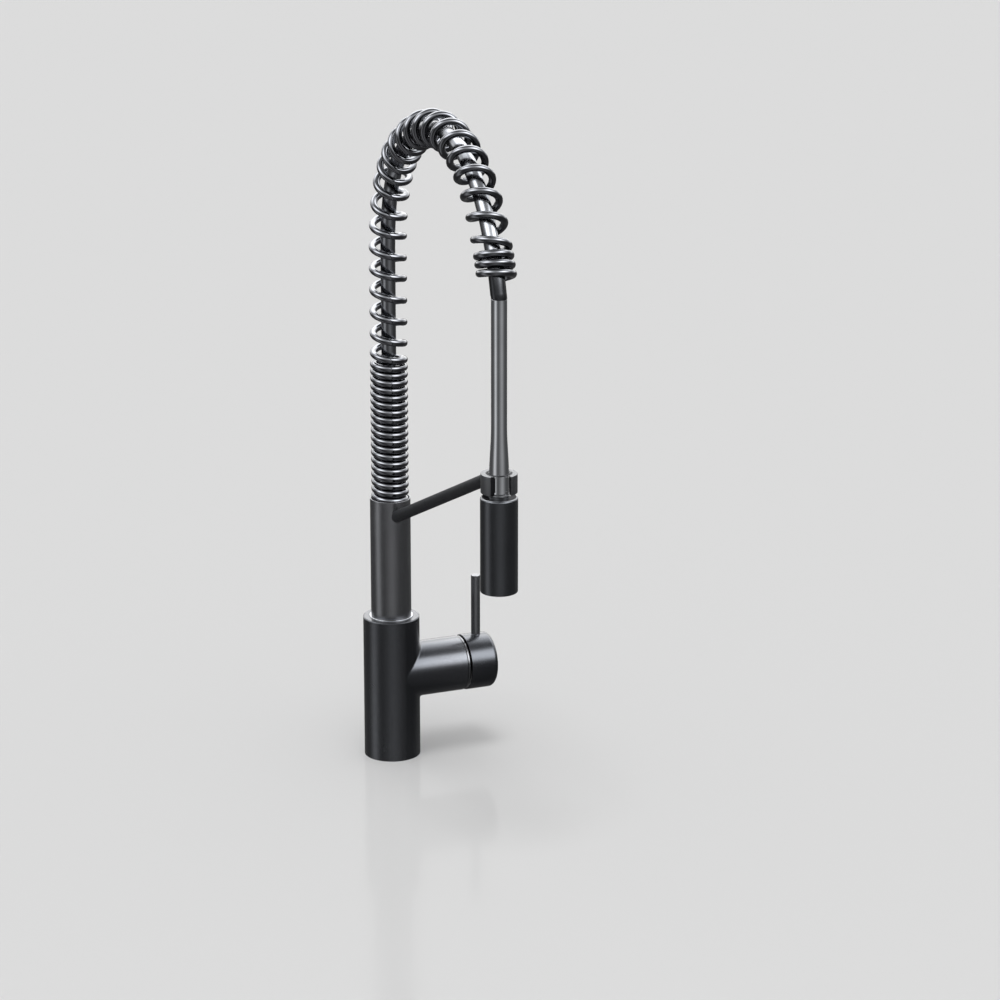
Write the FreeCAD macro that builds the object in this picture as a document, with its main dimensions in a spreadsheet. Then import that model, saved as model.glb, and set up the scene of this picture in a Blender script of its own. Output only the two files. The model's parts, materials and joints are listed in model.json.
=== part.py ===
import FreeCAD, Part
import math
import os
import Sketcher

# Spring-neck kitchen faucet with a pull-down hand spray, millimetres.
# Frame: origin at the centre of the base underside, +Z up, the spout reaches
# towards -Y, the mixing valve and its lever sit on the +X side.

os.makedirs("parts", exist_ok=True)
doc = FreeCAD.newDocument("SpringNeckFaucet")
V = FreeCAD.Vector

# ---------------------------------------------------------------- dimensions
# (alias, value). "start" and "end" lie along +X from the body axis on the valve
# side; "bottom" and "top" are heights; "gap" and "fit" are clearances.
DIMENSIONS = [
    # base body
    ("body_radius", 25.0), ("body_height", 130.0), ("body_edge", 0.8),
    ("valve_z", 76.4), ("branch_radius", 24.6), ("branch_end", 64.0),
    ("branch_fillet", 2.5),
    ("cartridge_bore_radius", 17.6), ("cartridge_bore_start", 20.0),
    ("nut_bore_radius", 20.5), ("nut_bore_start", 54.0),
    ("swivel_bore_radius", 16.0), ("swivel_bore_bottom", 100.0),
    ("riser_radius", 5.0), ("outlet_drill_radius", 3.5), ("outlet_offset", 8.0),
    ("inlet_thread_radius", 4.46), ("inlet_thread_depth", 12.0),
    ("inlet_x", 4.0), ("inlet_y", 9.0), ("inlet_drill_radius", 3.0),
    ("inlet_port_drop", 5.0),
    ("stud_radius", 3.4), ("stud_depth", 14.0), ("stud_x", 15.0),
    ("gasket_inner", 19.6), ("gasket_outer", 22.4), ("gasket_depth", 1.6),
    ("gasket_fit", 0.05),
    ("grub_radius", 2.1), ("grub_z", 127.0), ("grub_tip", 12.2), ("grub_tail", 24.4),
    ("grub_hole_start", 11.0), ("grub_fit", 0.04),
    # blind round sockets in the tails of the grub screw and the handle set screw
    ("key_socket_radius", 1.1), ("key_socket_depth", 2.5),
    # cartridge
    ("pivot_x", 47.0), ("housing_start", 21.7), ("housing_end", 52.0),
    ("housing_radius", 17.4), ("housing_cavity_radius", 14.5),
    ("housing_floor", 25.0), ("port_radius", 2.5), ("disc_gap", 0.02),
    ("fixed_disc_end", 29.0), ("fixed_disc_radius", 14.3),
    ("moving_disc_end", 33.0), ("moving_disc_radius", 8.0),
    ("disc_pocket_radius", 2.4), ("disc_pocket_depth", 2.9),
    ("carrier_start", 34.0), ("carrier_end", 50.0), ("carrier_radius", 14.42),
    ("carrier_slot_width", 7.2), ("carrier_slot_height", 19.0),
    ("pivot_radius", 1.5), ("pivot_length", 27.0),
    ("carrier_pin_fit", 0.01), ("stem_pin_fit", 0.03),
    ("stem_square", 7.0), ("stem_end", 77.0), ("stem_block_start", 42.0),
    ("stem_tip_x", 32.6), ("stem_tip_radius", 2.0), ("stem_neck_radius", 1.6),
    ("stem_neck_overlap", 0.5),
    ("seal_ring_radius", 4.0), ("seal_section", 0.78), ("seal_x", 20.86),
    ("nut_radius", 20.4), ("nut_nose_radius", 17.3), ("nut_bore", 12.8),
    ("nut_end", 58.0), ("nut_nose_gap", 0.05), ("nut_flange_gap", 0.1),
    ("key_slot_depth", 1.6), ("key_slot_width", 4.0), ("key_slot_margin", 1.0),
    ("trim_ring_radius", 24.3), ("trim_ring_start", 64.6), ("trim_ring_end", 66.4),
    ("trim_neck_radius", 20.35), ("trim_bore", 19.2), ("trim_gap", 0.1),
    ("trim_dome_end", 69.0), ("trim_dome_radius", 20.0), ("trim_dome_base", 22.6),
    # handle; set screw and plug positions are distances below the valve axis
    ("cap_radius", 25.0), ("cap_start", 68.0), ("cap_end", 94.0),
    ("cap_edge", 4.5), ("cap_hollow_radius", 31.6),
    ("hub_radius", 7.5), ("hub_floor", 4.0),
    ("socket_square", 7.2), ("socket_depth", 78.0),
    ("lever_x", 81.0), ("lever_radius", 4.07), ("lever_foot", 90.4),
    ("lever_top", 157.3), ("lever_edge", 0.5), ("lever_fit", 4.09), ("lever_gap", 0.1),
    ("set_screw_x", 74.0), ("set_screw_radius", 2.05), ("set_screw_tip", 3.62),
    ("set_screw_tail", 7.4), ("set_screw_fit", 0.04),
    ("set_screw_hole_inner", 1.0), ("set_screw_hole_outer", 13.0),
    ("plug_radius", 2.6), ("plug_inner", 21.5), ("plug_outer", 24.7),
    ("plug_fit", 0.02), ("plug_hole_inner", 14.0), ("plug_hole_outer", 26.0),
    # swivel
    ("bush_inner", 13.5), ("bush_outer", 15.98), ("lower_bush_start", 101.0),
    ("lower_bush_end", 108.0), ("upper_bush_start", 119.0), ("upper_bush_end", 124.6),
    ("spigot_radius", 13.44), ("spigot_seal_radius", 15.92), ("spigot_bottom", 101.5),
    ("spigot_seal_start", 108.4), ("spigot_seal_end", 118.6),
    ("seal_groove_floor", 13.7), ("groove_a", 110.0), ("groove_b", 114.6),
    ("groove_width", 2.6), ("o_ring_radius", 14.85), ("o_ring_section", 1.0),
    ("retain_groove_radius", 11.5), ("retain_groove_start", 124.8),
    ("retain_groove_end", 129.2), ("spigot_bore", 6.5), ("spigot_shoulder", 130.9),
    ("spigot_plug_end", 150.0), ("nipple_radius", 9.5), ("nipple_end", 158.0),
    ("washer_inner", 16.6), ("washer_outer", 19.3), ("washer_thick", 0.6),
    # column and spring seat
    ("column_radius", 17.84), ("column_bore", 16.9), ("column_bottom", 130.8),
    ("column_top", 239.3), ("column_plug", 16.88),
    ("seat_bottom", 213.0), ("seat_top", 229.6), ("seat_bore", 7.4),
    ("fitting_radius", 12.0), ("fitting_top", 166.0), ("fitting_bore", 4.1),
    ("fitting_inner_top", 158.45), ("fitting_bottom", 150.2), ("fitting_cup", 9.56),
    ("fitting_bevel_height", 2.0), ("fitting_bevel_width", 3.0),
    ("flat_seal_inner", 5.0), ("flat_seal_outer", 9.3), ("flat_seal_thick", 0.36),
    ("flat_seal_gap", 0.04),
    # holder arm and clip; arm starts and ends are lengths along the arm axis
    ("reach", 247.1), ("arm_radius", 5.2), ("arm_root_z", 218.8), ("arm_rise", 23.8),
    ("arm_start", 12.0), ("arm_end", 256.95), ("arm_column_gap", 0.02),
    ("arm_clip_overlap", 1.2),
    ("arm_stud_radius", 3.0), ("arm_stud_start", 10.0), ("arm_stud_end", 22.0),
    ("arm_hole_radius", 3.05), ("column_hole_end", 32.0),
    ("seat_hole_start", 3.0), ("seat_hole_end", 28.0),
    ("arm_socket_start", 200.0), ("arm_socket_gap", 0.05), ("arm_socket_fit", 0.01),
    ("clip_outer", 15.1), ("clip_inner", 10.6), ("clip_bottom", 312.4),
    ("clip_top", 328.5), ("clip_turn", -112.83), ("liner_inner", 9.2),
    ("liner_bottom", 314.4), ("liner_top", 326.5), ("liner_fit", 0.02),
    # hose and spring
    ("hose_radius", 6.45), ("hose_bore", 4.2), ("hose_start", 166.1),
    ("sleeve_radius", 6.62), ("sleeve_bore", 3.9), ("wand_top", 471.9),
    ("spring_mean", 13.4), ("wire_radius", 3.1), ("spring_bottom", 232.8),
    ("close_pitch", 6.652),
    # wand
    ("neck_radius", 6.5), ("neck_bore", 4.6), ("neck_flare_radius", 8.1),
    ("neck_flare_top", 366.0), ("neck_flare_mid", 340.0),
    ("neck_bottom", 296.0), ("neck_top_gap", 0.1),
    ("hose_nipple_radius", 4.5), ("hose_nipple_shank", 3.6), ("hose_nipple_bore", 2.8),
    ("nipple_bottom", 452.0), ("nipple_collar_start", 6.0), ("nipple_collar_end", 11.0),
    ("nipple_top_gap", 0.05),
    ("head_radius", 15.5), ("head_top", 308.4), ("head_bottom", 227.7),
    ("head_wall", 1.7), ("head_roof", 6.0), ("head_neck_fit", 0.02),
    ("head_edge", 1.2), ("head_shoulder", 1.6),
    ("insert_radius", 13.78), ("insert_top", 292.0), ("insert_bottom", 247.0),
    ("insert_bore", 3.0), ("insert_lower_collar", 10.0), ("insert_upper_collar", 8.0),
    ("insert_waist_depth", 1.2), ("insert_roof", 3.0),
    ("chamber_radius", 6.0), ("chamber_rise", 20.0),
    ("insert_ring_inset", 0.55), ("insert_ring_section", 0.5), ("insert_ring_rise", 14.0),
    ("lock_nut_radius", 13.2), ("lock_nut_fit", 0.03), ("lock_nut_lift", 1.0),
    ("lock_nut_drop", 6.3),
    ("plate_radius", 13.6), ("plate_top", 231.8), ("plate_bottom", 229.0),
    ("jet_radius", 0.6), ("jet_ring_a", 5.0), ("jet_ring_b", 10.6),
    ("straightener_radius", 12.6), ("straightener_top", 240.6),
    ("straightener_bottom", 233.2), ("straightener_hole", 1.5),
    ("straightener_ring", 7.5), ("straightener_centre_hole", 2.4),
    ("straightener_seal_inset", 1.4), ("straightener_seal_section", 0.9),
    ("straightener_seal_rise", 1.6),
    # check valve: rises above the insert's bottom, drops below its top
    ("poppet_stem_radius", 1.2), ("poppet_stem_rise", 27.0),
    ("poppet_head_radius", 5.2), ("poppet_head_drop", 7.0),
    ("poppet_bevel_radius", 3.4), ("poppet_bevel_drop", 4.5), ("poppet_top_drop", 3.2),
    ("check_spring_radius", 3.4), ("check_spring_pitch", 3.0), ("check_spring_wire", 0.35),
    ("check_spring_rise", 20.6), ("check_spring_drop", 7.6),
]
OVERRUN = 0.1          # how far a cutting tool passes an open face
EDGE_TOLERANCE = 0.02  # match of an edge's radius and height

sheet = doc.addObject("Spreadsheet::Sheet", "Dims")
for row, (alias, value) in enumerate(DIMENSIONS, start=1):
    sheet.set("A%d" % row, alias)
    sheet.set("B%d" % row, repr(float(value)))
    sheet.setAlias("B%d" % row, alias)
doc.recompute()


class Size:
    """A number together with the sheet expression it comes from."""

    def __init__(self, value, text):
        self.value = float(value)
        self.text = text

    @staticmethod
    def of(x):
        return x if isinstance(x, Size) else Size(x, "(%r)" % float(x))

    def __add__(self, other):
        other = Size.of(other)
        return Size(self.value + other.value, "(%s + %s)" % (self.text, other.text))

    def __sub__(self, other):
        other = Size.of(other)
        return Size(self.value - other.value, "(%s - %s)" % (self.text, other.text))

    def __mul__(self, other):
        other = Size.of(other)
        return Size(self.value * other.value, "(%s * %s)" % (self.text, other.text))

    def __truediv__(self, other):
        other = Size.of(other)
        return Size(self.value / other.value, "(%s / %s)" % (self.text, other.text))

    def __neg__(self):
        return Size(-self.value, "(0 - %s)" % self.text)


class Sizes:
    """D.alias is the Size behind that alias."""

    def __getattr__(self, alias):
        return Size(sheet.get(alias), "Dims.%s" % alias)


D = Sizes()


# ------------------------------------------------------------------- helpers
def bind(obj, prop, size):
    obj.setExpression(prop, Size.of(size).text)


def place(obj, x=0.0, y=0.0, z=0.0, axis=(0, 0, 1), angle=0.0):
    """Fixed turn, position bound to the sheet."""
    x, y, z = Size.of(x), Size.of(y), Size.of(z)
    obj.Placement = FreeCAD.Placement(V(x.value, y.value, z.value),
                                      FreeCAD.Rotation(V(*axis), angle))
    for letter, size in (("x", x), ("y", y), ("z", z)):
        if "Dims" in size.text:
            obj.setExpression("Placement.Base." + letter, size.text)


ALONG_X = dict(axis=(0, 1, 0), angle=90.0)
ALONG_Y = dict(axis=(1, 0, 0), angle=-90.0)
ON_VALVE = dict(z=D.valve_z)                     # centred on the valve axis
VALVE_TURNED = dict(z=D.valve_z, **ALONG_X)      # turned about the valve axis
ON_WAND = dict(y=-D.reach)                       # centred on the wand axis
helper_count = 0


def helper_name(kind):
    global helper_count
    helper_count += 1
    return "%s_%03d" % (kind, helper_count)


def cylinder(radius, height, **where):
    obj = doc.addObject("Part::Cylinder", helper_name("cyl"))
    bind(obj, "Radius", radius)
    bind(obj, "Height", height)
    place(obj, **where)
    return obj


def rod_x(radius, start, end, **where):
    return cylinder(radius, Size.of(end) - start, x=start, **where, **ALONG_X)


def rod_y(radius, start, end, **where):
    return cylinder(radius, Size.of(end) - start, y=start, **where, **ALONG_Y)


def rod_z(radius, start, end, **where):
    return cylinder(radius, Size.of(end) - start, z=start, **where)


def through(rod, radius, start, end, **where):
    """Cutting rod that passes both ends."""
    return rod(radius, Size.of(start) - OVERRUN, Size.of(end) + OVERRUN, **where)


def bar_x(width, height, start, end):
    """Rectangular bar centred on the valve axis; width is along Y."""
    obj = doc.addObject("Part::Box", helper_name("box"))
    bind(obj, "Length", end - start)
    bind(obj, "Width", width)
    bind(obj, "Height", height)
    place(obj, start, -width / 2.0, D.valve_z - height / 2.0)
    return obj


def sphere(radius, **where):
    obj = doc.addObject("Part::Sphere", helper_name("ball"))
    bind(obj, "Radius", radius)
    place(obj, **where)
    return obj


def torus(major, minor, **where):
    obj = doc.addObject("Part::Torus", helper_name("ring"))
    bind(obj, "Radius1", major)
    bind(obj, "Radius2", minor)
    place(obj, **where)
    return obj


def fuse(shapes):
    if len(shapes) == 1:
        return shapes[0]
    obj = doc.addObject("Part::MultiFuse", helper_name("fuse"))
    obj.Shapes = shapes
    return obj


def cut(base, tools):
    obj = doc.addObject("Part::Cut", helper_name("cut"))
    obj.Base = base
    obj.Tool = fuse(tools)
    return obj


def tube_z(outer, inner, bottom, top, **where):
    return cut(rod_z(outer, bottom, top, **where),
               [through(rod_z, inner, bottom, top, **where)])


def group(shapes, name):
    """Identical separate pieces kept together."""
    obj = doc.addObject("Part::Compound", name)
    obj.Links = shapes
    return obj


def feature(name, shape):
    """Object holding a shape built in the document's own frame."""
    obj = doc.addObject("Part::Feature", name)
    obj.Shape = shape
    obj.Placement = FreeCAD.Placement()
    return obj


def sketch_on(body, plane_role, name):
    sketch = body.newObject("Sketcher::SketchObject", name)
    plane = [f for f in body.Origin.OriginFeatures if f.Role == plane_role][0]
    sketch.AttachmentSupport = [(plane, "")]
    sketch.MapMode = "FlatFace"
    return sketch


def profile(body, points, name):
    """Closed polygon sketch on XZ, every vertex driven from the sheet."""
    sketch = sketch_on(body, "XZ_Plane", name)
    corners = [(Size.of(a), Size.of(b)) for a, b in points]
    number = len(corners)
    for i in range(number):
        a, b = corners[i], corners[(i + 1) % number]
        sketch.addGeometry(Part.LineSegment(V(a[0].value, a[1].value, 0),
                                            V(b[0].value, b[1].value, 0)), False)
    for i in range(number):
        sketch.addConstraint(Sketcher.Constraint("Coincident", i, 2, (i + 1) % number, 1))
    for i, (across, up) in enumerate(corners):
        for kind, size, axis in (("DistanceX", across, -2), ("DistanceY", up, -1)):
            if abs(size.value) < 1e-9:
                sketch.addConstraint(Sketcher.Constraint("PointOnObject", i, 1, axis))
                continue
            k = sketch.addConstraint(Sketcher.Constraint(kind, -1, 1, i, 1, size.value))
            if "Dims" in size.text:
                sketch.setExpression("Constraints[%d]" % k, size.text)
    return sketch


def revolved(name, points, **where):
    """PartDesign body: polygon of (radius, height) turned about the body's Z."""
    body = doc.addObject("PartDesign::Body", name)
    sketch = profile(body, points, name + "_profile")
    turn = body.newObject("PartDesign::Revolution", name + "_turn")
    turn.Profile = sketch
    turn.ReferenceAxis = (sketch, ["V_Axis"])
    turn.Angle = 360.0
    body.Tip = turn
    place(body, **where)
    doc.recompute()
    return body


def dress_edges(body, size, radius, height=None, kind="Fillet"):
    """Fillet or chamfer the tip's circular edges of one radius, at one height if given."""
    tip = body.Tip
    names = []
    for i, edge in enumerate(tip.Shape.Edges, start=1):
        if not isinstance(edge.Curve, Part.Circle):
            continue
        if abs(edge.Curve.Radius - radius.value) >= EDGE_TOLERANCE:
            continue
        if height is None or abs(edge.Curve.Center.z - height.value) < EDGE_TOLERANCE:
            names.append("Edge%d" % i)
    dressed = body.newObject("PartDesign::" + kind, helper_name("edge"))
    dressed.Base = (tip, names)
    bind(dressed, "Radius" if kind == "Fillet" else "Size", size)
    body.Tip = dressed
    doc.recompute()


# ----------------------------------------------------------------- base body
def blended_tee():
    """Body and valve branch with a blend in the corner between them."""
    tee = fuse([rod_z(D.body_radius, 0.0, D.body_height),
                rod_x(D.branch_radius, 0.0, D.branch_end, **ON_VALVE)])
    doc.recompute()
    # the seam edges lie on the body's +X half, around the branch
    seam = []
    for i, edge in enumerate(tee.Shape.Edges, start=1):
        box = edge.BoundBox
        if (box.XMin > 1.0 and box.XMax < 25.5 and box.ZMin > 50 and box.ZMax < 105
                and box.YLength > 5):
            seam.append(i)
    blend = doc.addObject("Part::Fillet", "tee_blend")
    blend.Base = tee
    blend.Edges = [(i, D.branch_fillet.value, D.branch_fillet.value) for i in seam]
    doc.recompute()
    # guards against a fillet the kernel can't build: the corner is then left sharp
    shape = blend.Shape
    if (shape.isNull() or not shape.isValid() or "Invalid" in blend.State
            or len(shape.Solids) != 1):
        doc.removeObject(blend.Name)
        return tee
    return blend


def tee_body():
    tee = blended_tee()
    rim = [i for i, edge in enumerate(tee.Shape.Edges, start=1)
           if isinstance(edge.Curve, Part.Circle)
           and abs(edge.Curve.Center.z - D.body_height.value) < 0.01]
    edged = doc.addObject("Part::Chamfer", "tee_edge")
    edged.Base = tee
    edged.Edges = [(i, D.body_edge.value, D.body_edge.value) for i in rim]
    outlet_z = D.valve_z + D.outlet_offset
    port_z = D.valve_z - D.inlet_port_drop
    bores = [
        rod_x(D.cartridge_bore_radius, D.cartridge_bore_start, D.branch_end + OVERRUN,
              **ON_VALVE),
        rod_x(D.nut_bore_radius, D.nut_bore_start, D.branch_end + OVERRUN, **ON_VALVE),
        rod_z(D.swivel_bore_radius, D.swivel_bore_bottom, D.body_height + OVERRUN),
        rod_z(D.riser_radius, outlet_z, D.swivel_bore_bottom + OVERRUN),
        rod_x(D.outlet_drill_radius, 0.0, D.cartridge_bore_start + OVERRUN, z=outlet_z),
        rod_y(D.grub_radius, D.grub_hole_start, D.body_radius + OVERRUN, z=D.grub_z),
    ]
    for side in (1.0, -1.0):
        inlet = dict(x=D.inlet_x, y=D.inlet_y * side)
        bores += [
            rod_z(D.inlet_thread_radius, -OVERRUN, D.inlet_thread_depth, **inlet),
            rod_z(D.inlet_drill_radius, D.inlet_thread_depth - OVERRUN, port_z, **inlet),
            rod_x(D.inlet_drill_radius, D.inlet_x, D.cartridge_bore_start + OVERRUN,
                  y=D.inlet_y * side, z=port_z),
            rod_z(D.stud_radius, -OVERRUN, D.stud_depth, x=D.stud_x * side),
        ]
    # gasket groove in the underside
    bores.append(tube_z(D.gasket_outer + D.gasket_fit, D.gasket_inner - D.gasket_fit,
                        -OVERRUN, D.gasket_depth + D.gasket_fit))
    return cut(edged, bores)


def base_gasket():
    return tube_z(D.gasket_outer, D.gasket_inner, 0.0, D.gasket_depth)


# --------------------------------------------------------- ceramic cartridge
# two inlets and one outlet
PORTS = [
    dict(y=D.inlet_y, z=D.valve_z - D.inlet_port_drop),
    dict(y=-D.inlet_y, z=D.valve_z - D.inlet_port_drop),
    dict(y=0.0, z=D.valve_z + D.outlet_offset),
]


def port_holes(start, end):
    return [through(rod_x, D.port_radius, start, end, **port) for port in PORTS]


def cartridge_housing():
    return cut(
        rod_x(D.housing_radius, D.housing_start, D.housing_end, **ON_VALVE),
        [rod_x(D.housing_cavity_radius, D.housing_floor, D.housing_end + OVERRUN,
               **ON_VALVE)] + port_holes(D.housing_start, D.housing_floor))


def cartridge_port_seals():
    return group([torus(D.seal_ring_radius, D.seal_section, x=D.seal_x, **port, **ALONG_X)
                  for port in PORTS], "port_seals")


def fixed_ceramic_disc():
    start = D.housing_floor + D.disc_gap
    return cut(rod_x(D.fixed_disc_radius, start, D.fixed_disc_end, **ON_VALVE),
               port_holes(start, D.fixed_disc_end))


def moving_ceramic_disc():
    return cut(
        rod_x(D.moving_disc_radius, D.fixed_disc_end + D.disc_gap, D.moving_disc_end,
              **ON_VALVE),
        [rod_x(D.disc_pocket_radius, D.moving_disc_end - D.disc_pocket_depth,
               D.moving_disc_end + OVERRUN, **ON_VALVE)])


def stem_carrier():
    return cut(
        rod_x(D.carrier_radius, D.carrier_start, D.carrier_end, **ON_VALVE),
        [bar_x(D.carrier_slot_width, D.carrier_slot_height,
               D.carrier_start - OVERRUN, D.carrier_end + OVERRUN),
         through(rod_y, D.pivot_radius + D.carrier_pin_fit, -D.carrier_radius,
                 D.carrier_radius, x=D.pivot_x, **ON_VALVE)])


def stem_pivot_pin():
    return rod_y(D.pivot_radius, -D.pivot_length / 2.0, D.pivot_length / 2.0,
                 x=D.pivot_x, **ON_VALVE)


def cartridge_stem():
    """Square stem with a thin neck and a ball tip at its inner end."""
    solid = fuse([
        bar_x(D.stem_square, D.stem_square, D.stem_block_start, D.stem_end),
        rod_x(D.stem_neck_radius, D.stem_tip_x, D.stem_block_start + D.stem_neck_overlap,
              **ON_VALVE),
        sphere(D.stem_tip_radius, x=D.stem_tip_x, **ON_VALVE)])
    return cut(solid, [
        through(rod_y, D.pivot_radius + D.stem_pin_fit, -D.stem_square / 2.0,
                D.stem_square / 2.0, x=D.pivot_x, **ON_VALVE)])


def cartridge_nut():
    nose = D.housing_end + D.nut_nose_gap
    flange = D.nut_bore_start + D.nut_flange_gap
    nut = revolved("cartridge_nut", [
        (D.nut_bore, nose), (D.nut_nose_radius, nose), (D.nut_nose_radius, flange),
        (D.nut_radius, flange), (D.nut_radius, D.nut_end), (D.nut_bore, D.nut_end)],
        **VALVE_TURNED)
    # spanner slot across the nut's outer face
    half = D.nut_radius + D.key_slot_margin
    floor, top = D.nut_end - D.key_slot_depth, D.nut_end + D.key_slot_margin
    slot = profile(nut, [(-half, floor), (half, floor), (half, top), (-half, top)],
                   "nut_slot_profile")
    pocket = nut.newObject("PartDesign::Pocket", "nut_slot")
    pocket.Profile = slot
    pocket.Midplane = True
    bind(pocket, "Length", D.key_slot_width)
    nut.Tip = pocket
    doc.recompute()
    return nut


def valve_trim_ring():
    start = D.nut_end + D.trim_gap
    return revolved("valve_trim_ring", [
        (D.trim_bore, start), (D.trim_neck_radius, start),
        (D.trim_neck_radius, D.trim_ring_start), (D.trim_ring_radius, D.trim_ring_start),
        (D.trim_ring_radius, D.trim_ring_end), (D.trim_dome_base, D.trim_ring_end),
        (D.trim_dome_radius, D.trim_dome_end), (D.trim_bore, D.trim_dome_end)],
        **VALVE_TURNED)


# -------------------------------------------------------------------- handle
def handle_cap():
    """Rounded cap, hollowed by a sphere about the pivot, with a hub for the stem."""
    cap = revolved("cap_blank", [
        (0.0, D.cap_start), (D.cap_radius, D.cap_start), (D.cap_radius, D.cap_end),
        (0.0, D.cap_end)], **VALVE_TURNED)
    dress_edges(cap, D.cap_edge, D.cap_radius, height=D.cap_end)
    hollow = cut(cap, [sphere(D.cap_hollow_radius, x=D.pivot_x, **ON_VALVE)])
    hub = rod_x(D.hub_radius, D.cap_start, D.socket_depth + D.hub_floor, **ON_VALVE)
    return cut(fuse([hollow, hub]), [
        bar_x(D.socket_square, D.socket_square, D.cap_start - OVERRUN, D.socket_depth),
        rod_z(D.lever_fit, D.lever_foot, D.valve_z + D.cap_radius + OVERRUN, x=D.lever_x),
        rod_z(D.set_screw_radius + D.set_screw_fit, D.valve_z - D.set_screw_hole_outer,
              D.valve_z - D.set_screw_hole_inner, x=D.set_screw_x),
        rod_z(D.plug_radius + D.plug_fit, D.valve_z - D.plug_hole_outer,
              D.valve_z - D.plug_hole_inner, x=D.set_screw_x)])


def lever_rod():
    """Upright round lever, chamfered at both ends."""
    lever = doc.addObject("PartDesign::Body", "lever_rod")
    section = sketch_on(lever, "XY_Plane", "lever_section")
    section.addGeometry(Part.Circle(V(0, 0, 0), V(0, 0, 1), D.lever_radius.value), False)
    section.addConstraint(Sketcher.Constraint("Coincident", 0, 3, -1, 1))
    k = section.addConstraint(Sketcher.Constraint("Radius", 0, D.lever_radius.value))
    section.setExpression("Constraints[%d]" % k, D.lever_radius.text)
    pad = lever.newObject("PartDesign::Pad", "lever_pad")
    pad.Profile = section
    bind(pad, "Length", D.lever_top - D.lever_foot - D.lever_gap)
    lever.Tip = pad
    doc.recompute()
    dress_edges(lever, D.lever_edge, D.lever_radius, kind="Chamfer")
    place(lever, x=D.lever_x, z=D.lever_foot + D.lever_gap)
    return lever


def handle_set_screw():
    tail = D.valve_z - D.set_screw_tail
    return cut(
        rod_z(D.set_screw_radius, tail, D.valve_z - D.set_screw_tip, x=D.set_screw_x),
        [rod_z(D.key_socket_radius, tail - OVERRUN, tail + D.key_socket_depth,
               x=D.set_screw_x)])


def set_screw_plug():
    return rod_z(D.plug_radius, D.valve_z - D.plug_outer, D.valve_z - D.plug_inner,
                 x=D.set_screw_x)


# -------------------------------------------------------------- spout swivel
def lower_swivel_bush():
    return tube_z(D.bush_outer, D.bush_inner, D.lower_bush_start, D.lower_bush_end)


def upper_swivel_bush():
    return tube_z(D.bush_outer, D.bush_inner, D.upper_bush_start, D.upper_bush_end)


def swivel_thrust_washer():
    return tube_z(D.washer_outer, D.washer_inner, D.body_height,
                  D.body_height + D.washer_thick)


def spout_retaining_screw():
    """Grub screw on the +Y side, its tip in the spigot's retaining groove."""
    return cut(
        rod_y(D.grub_radius - D.grub_fit, D.grub_tip, D.grub_tail, z=D.grub_z),
        [rod_y(D.key_socket_radius, D.grub_tail - D.key_socket_depth,
               D.grub_tail + OVERRUN, z=D.grub_z)])


def swivel_spigot():
    outline = [
        (D.spigot_bore, D.spigot_bottom), (D.spigot_radius, D.spigot_bottom),
        (D.spigot_radius, D.spigot_seal_start), (D.spigot_seal_radius, D.spigot_seal_start)]
    for groove in (D.groove_a, D.groove_b):
        outline += [
            (D.spigot_seal_radius, groove), (D.seal_groove_floor, groove),
            (D.seal_groove_floor, groove + D.groove_width),
            (D.spigot_seal_radius, groove + D.groove_width)]
    outline += [
        (D.spigot_seal_radius, D.spigot_seal_end), (D.spigot_radius, D.spigot_seal_end),
        (D.spigot_radius, D.retain_groove_start),
        (D.retain_groove_radius, D.retain_groove_start),
        (D.retain_groove_radius, D.retain_groove_end),
        (D.spigot_radius, D.retain_groove_end),
        (D.spigot_radius, D.spigot_shoulder), (D.column_plug, D.spigot_shoulder),
        (D.column_plug, D.spigot_plug_end), (D.nipple_radius, D.spigot_plug_end),
        (D.nipple_radius, D.nipple_end), (D.spigot_bore, D.nipple_end)]
    return revolved("swivel_spigot", outline)


def spigot_o_rings():
    return group([torus(D.o_ring_radius, D.o_ring_section, z=groove + D.groove_width / 2.0)
                  for groove in (D.groove_a, D.groove_b)], "spigot_rings")


# ---------------------------------------------------------- column, hose foot
def arm_rod(radius, start, end):
    """Rod along the rising arm axis; start and end are lengths along that axis."""
    rise = math.radians(D.arm_rise.value)
    obj = doc.addObject("Part::Cylinder", helper_name("arm"))
    bind(obj, "Radius", radius)
    bind(obj, "Height", end - start)
    obj.Placement = FreeCAD.Placement(
        V(0, -start.value * math.cos(rise), D.arm_root_z.value + start.value * math.sin(rise)),
        FreeCAD.Rotation(V(1, 0, 0), 90.0 - D.arm_rise.value))
    obj.setExpression("Placement.Base.y", "0 - %s * cos(Dims.arm_rise * 1deg)" % start.text)
    obj.setExpression("Placement.Base.z",
                      "Dims.arm_root_z + %s * sin(Dims.arm_rise * 1deg)" % start.text)
    obj.setExpression("Placement.Rotation.Angle", "(90 - Dims.arm_rise) * 1deg")
    return obj


def column_tube():
    return cut(
        rod_z(D.column_radius, D.column_bottom, D.column_top),
        [through(rod_z, D.column_bore, D.column_bottom, D.column_top),
         arm_rod(D.arm_hole_radius, D.arm_start, D.column_hole_end)])


def spring_seat():
    return cut(
        rod_z(D.column_plug, D.seat_bottom, D.seat_top),
        [through(rod_z, D.seat_bore, D.seat_bottom, D.seat_top),
         arm_rod(D.arm_hole_radius, D.seat_hole_start, D.seat_hole_end)])


def hose_lower_fitting():
    return revolved("hose_lower_fitting", [
        (D.fitting_cup, D.fitting_bottom), (D.fitting_radius, D.fitting_bottom),
        (D.fitting_radius, D.fitting_top - D.fitting_bevel_height),
        (D.fitting_radius - D.fitting_bevel_width, D.fitting_top),
        (D.fitting_bore, D.fitting_top), (D.fitting_bore, D.fitting_inner_top),
        (D.fitting_cup, D.fitting_inner_top)])


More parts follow.
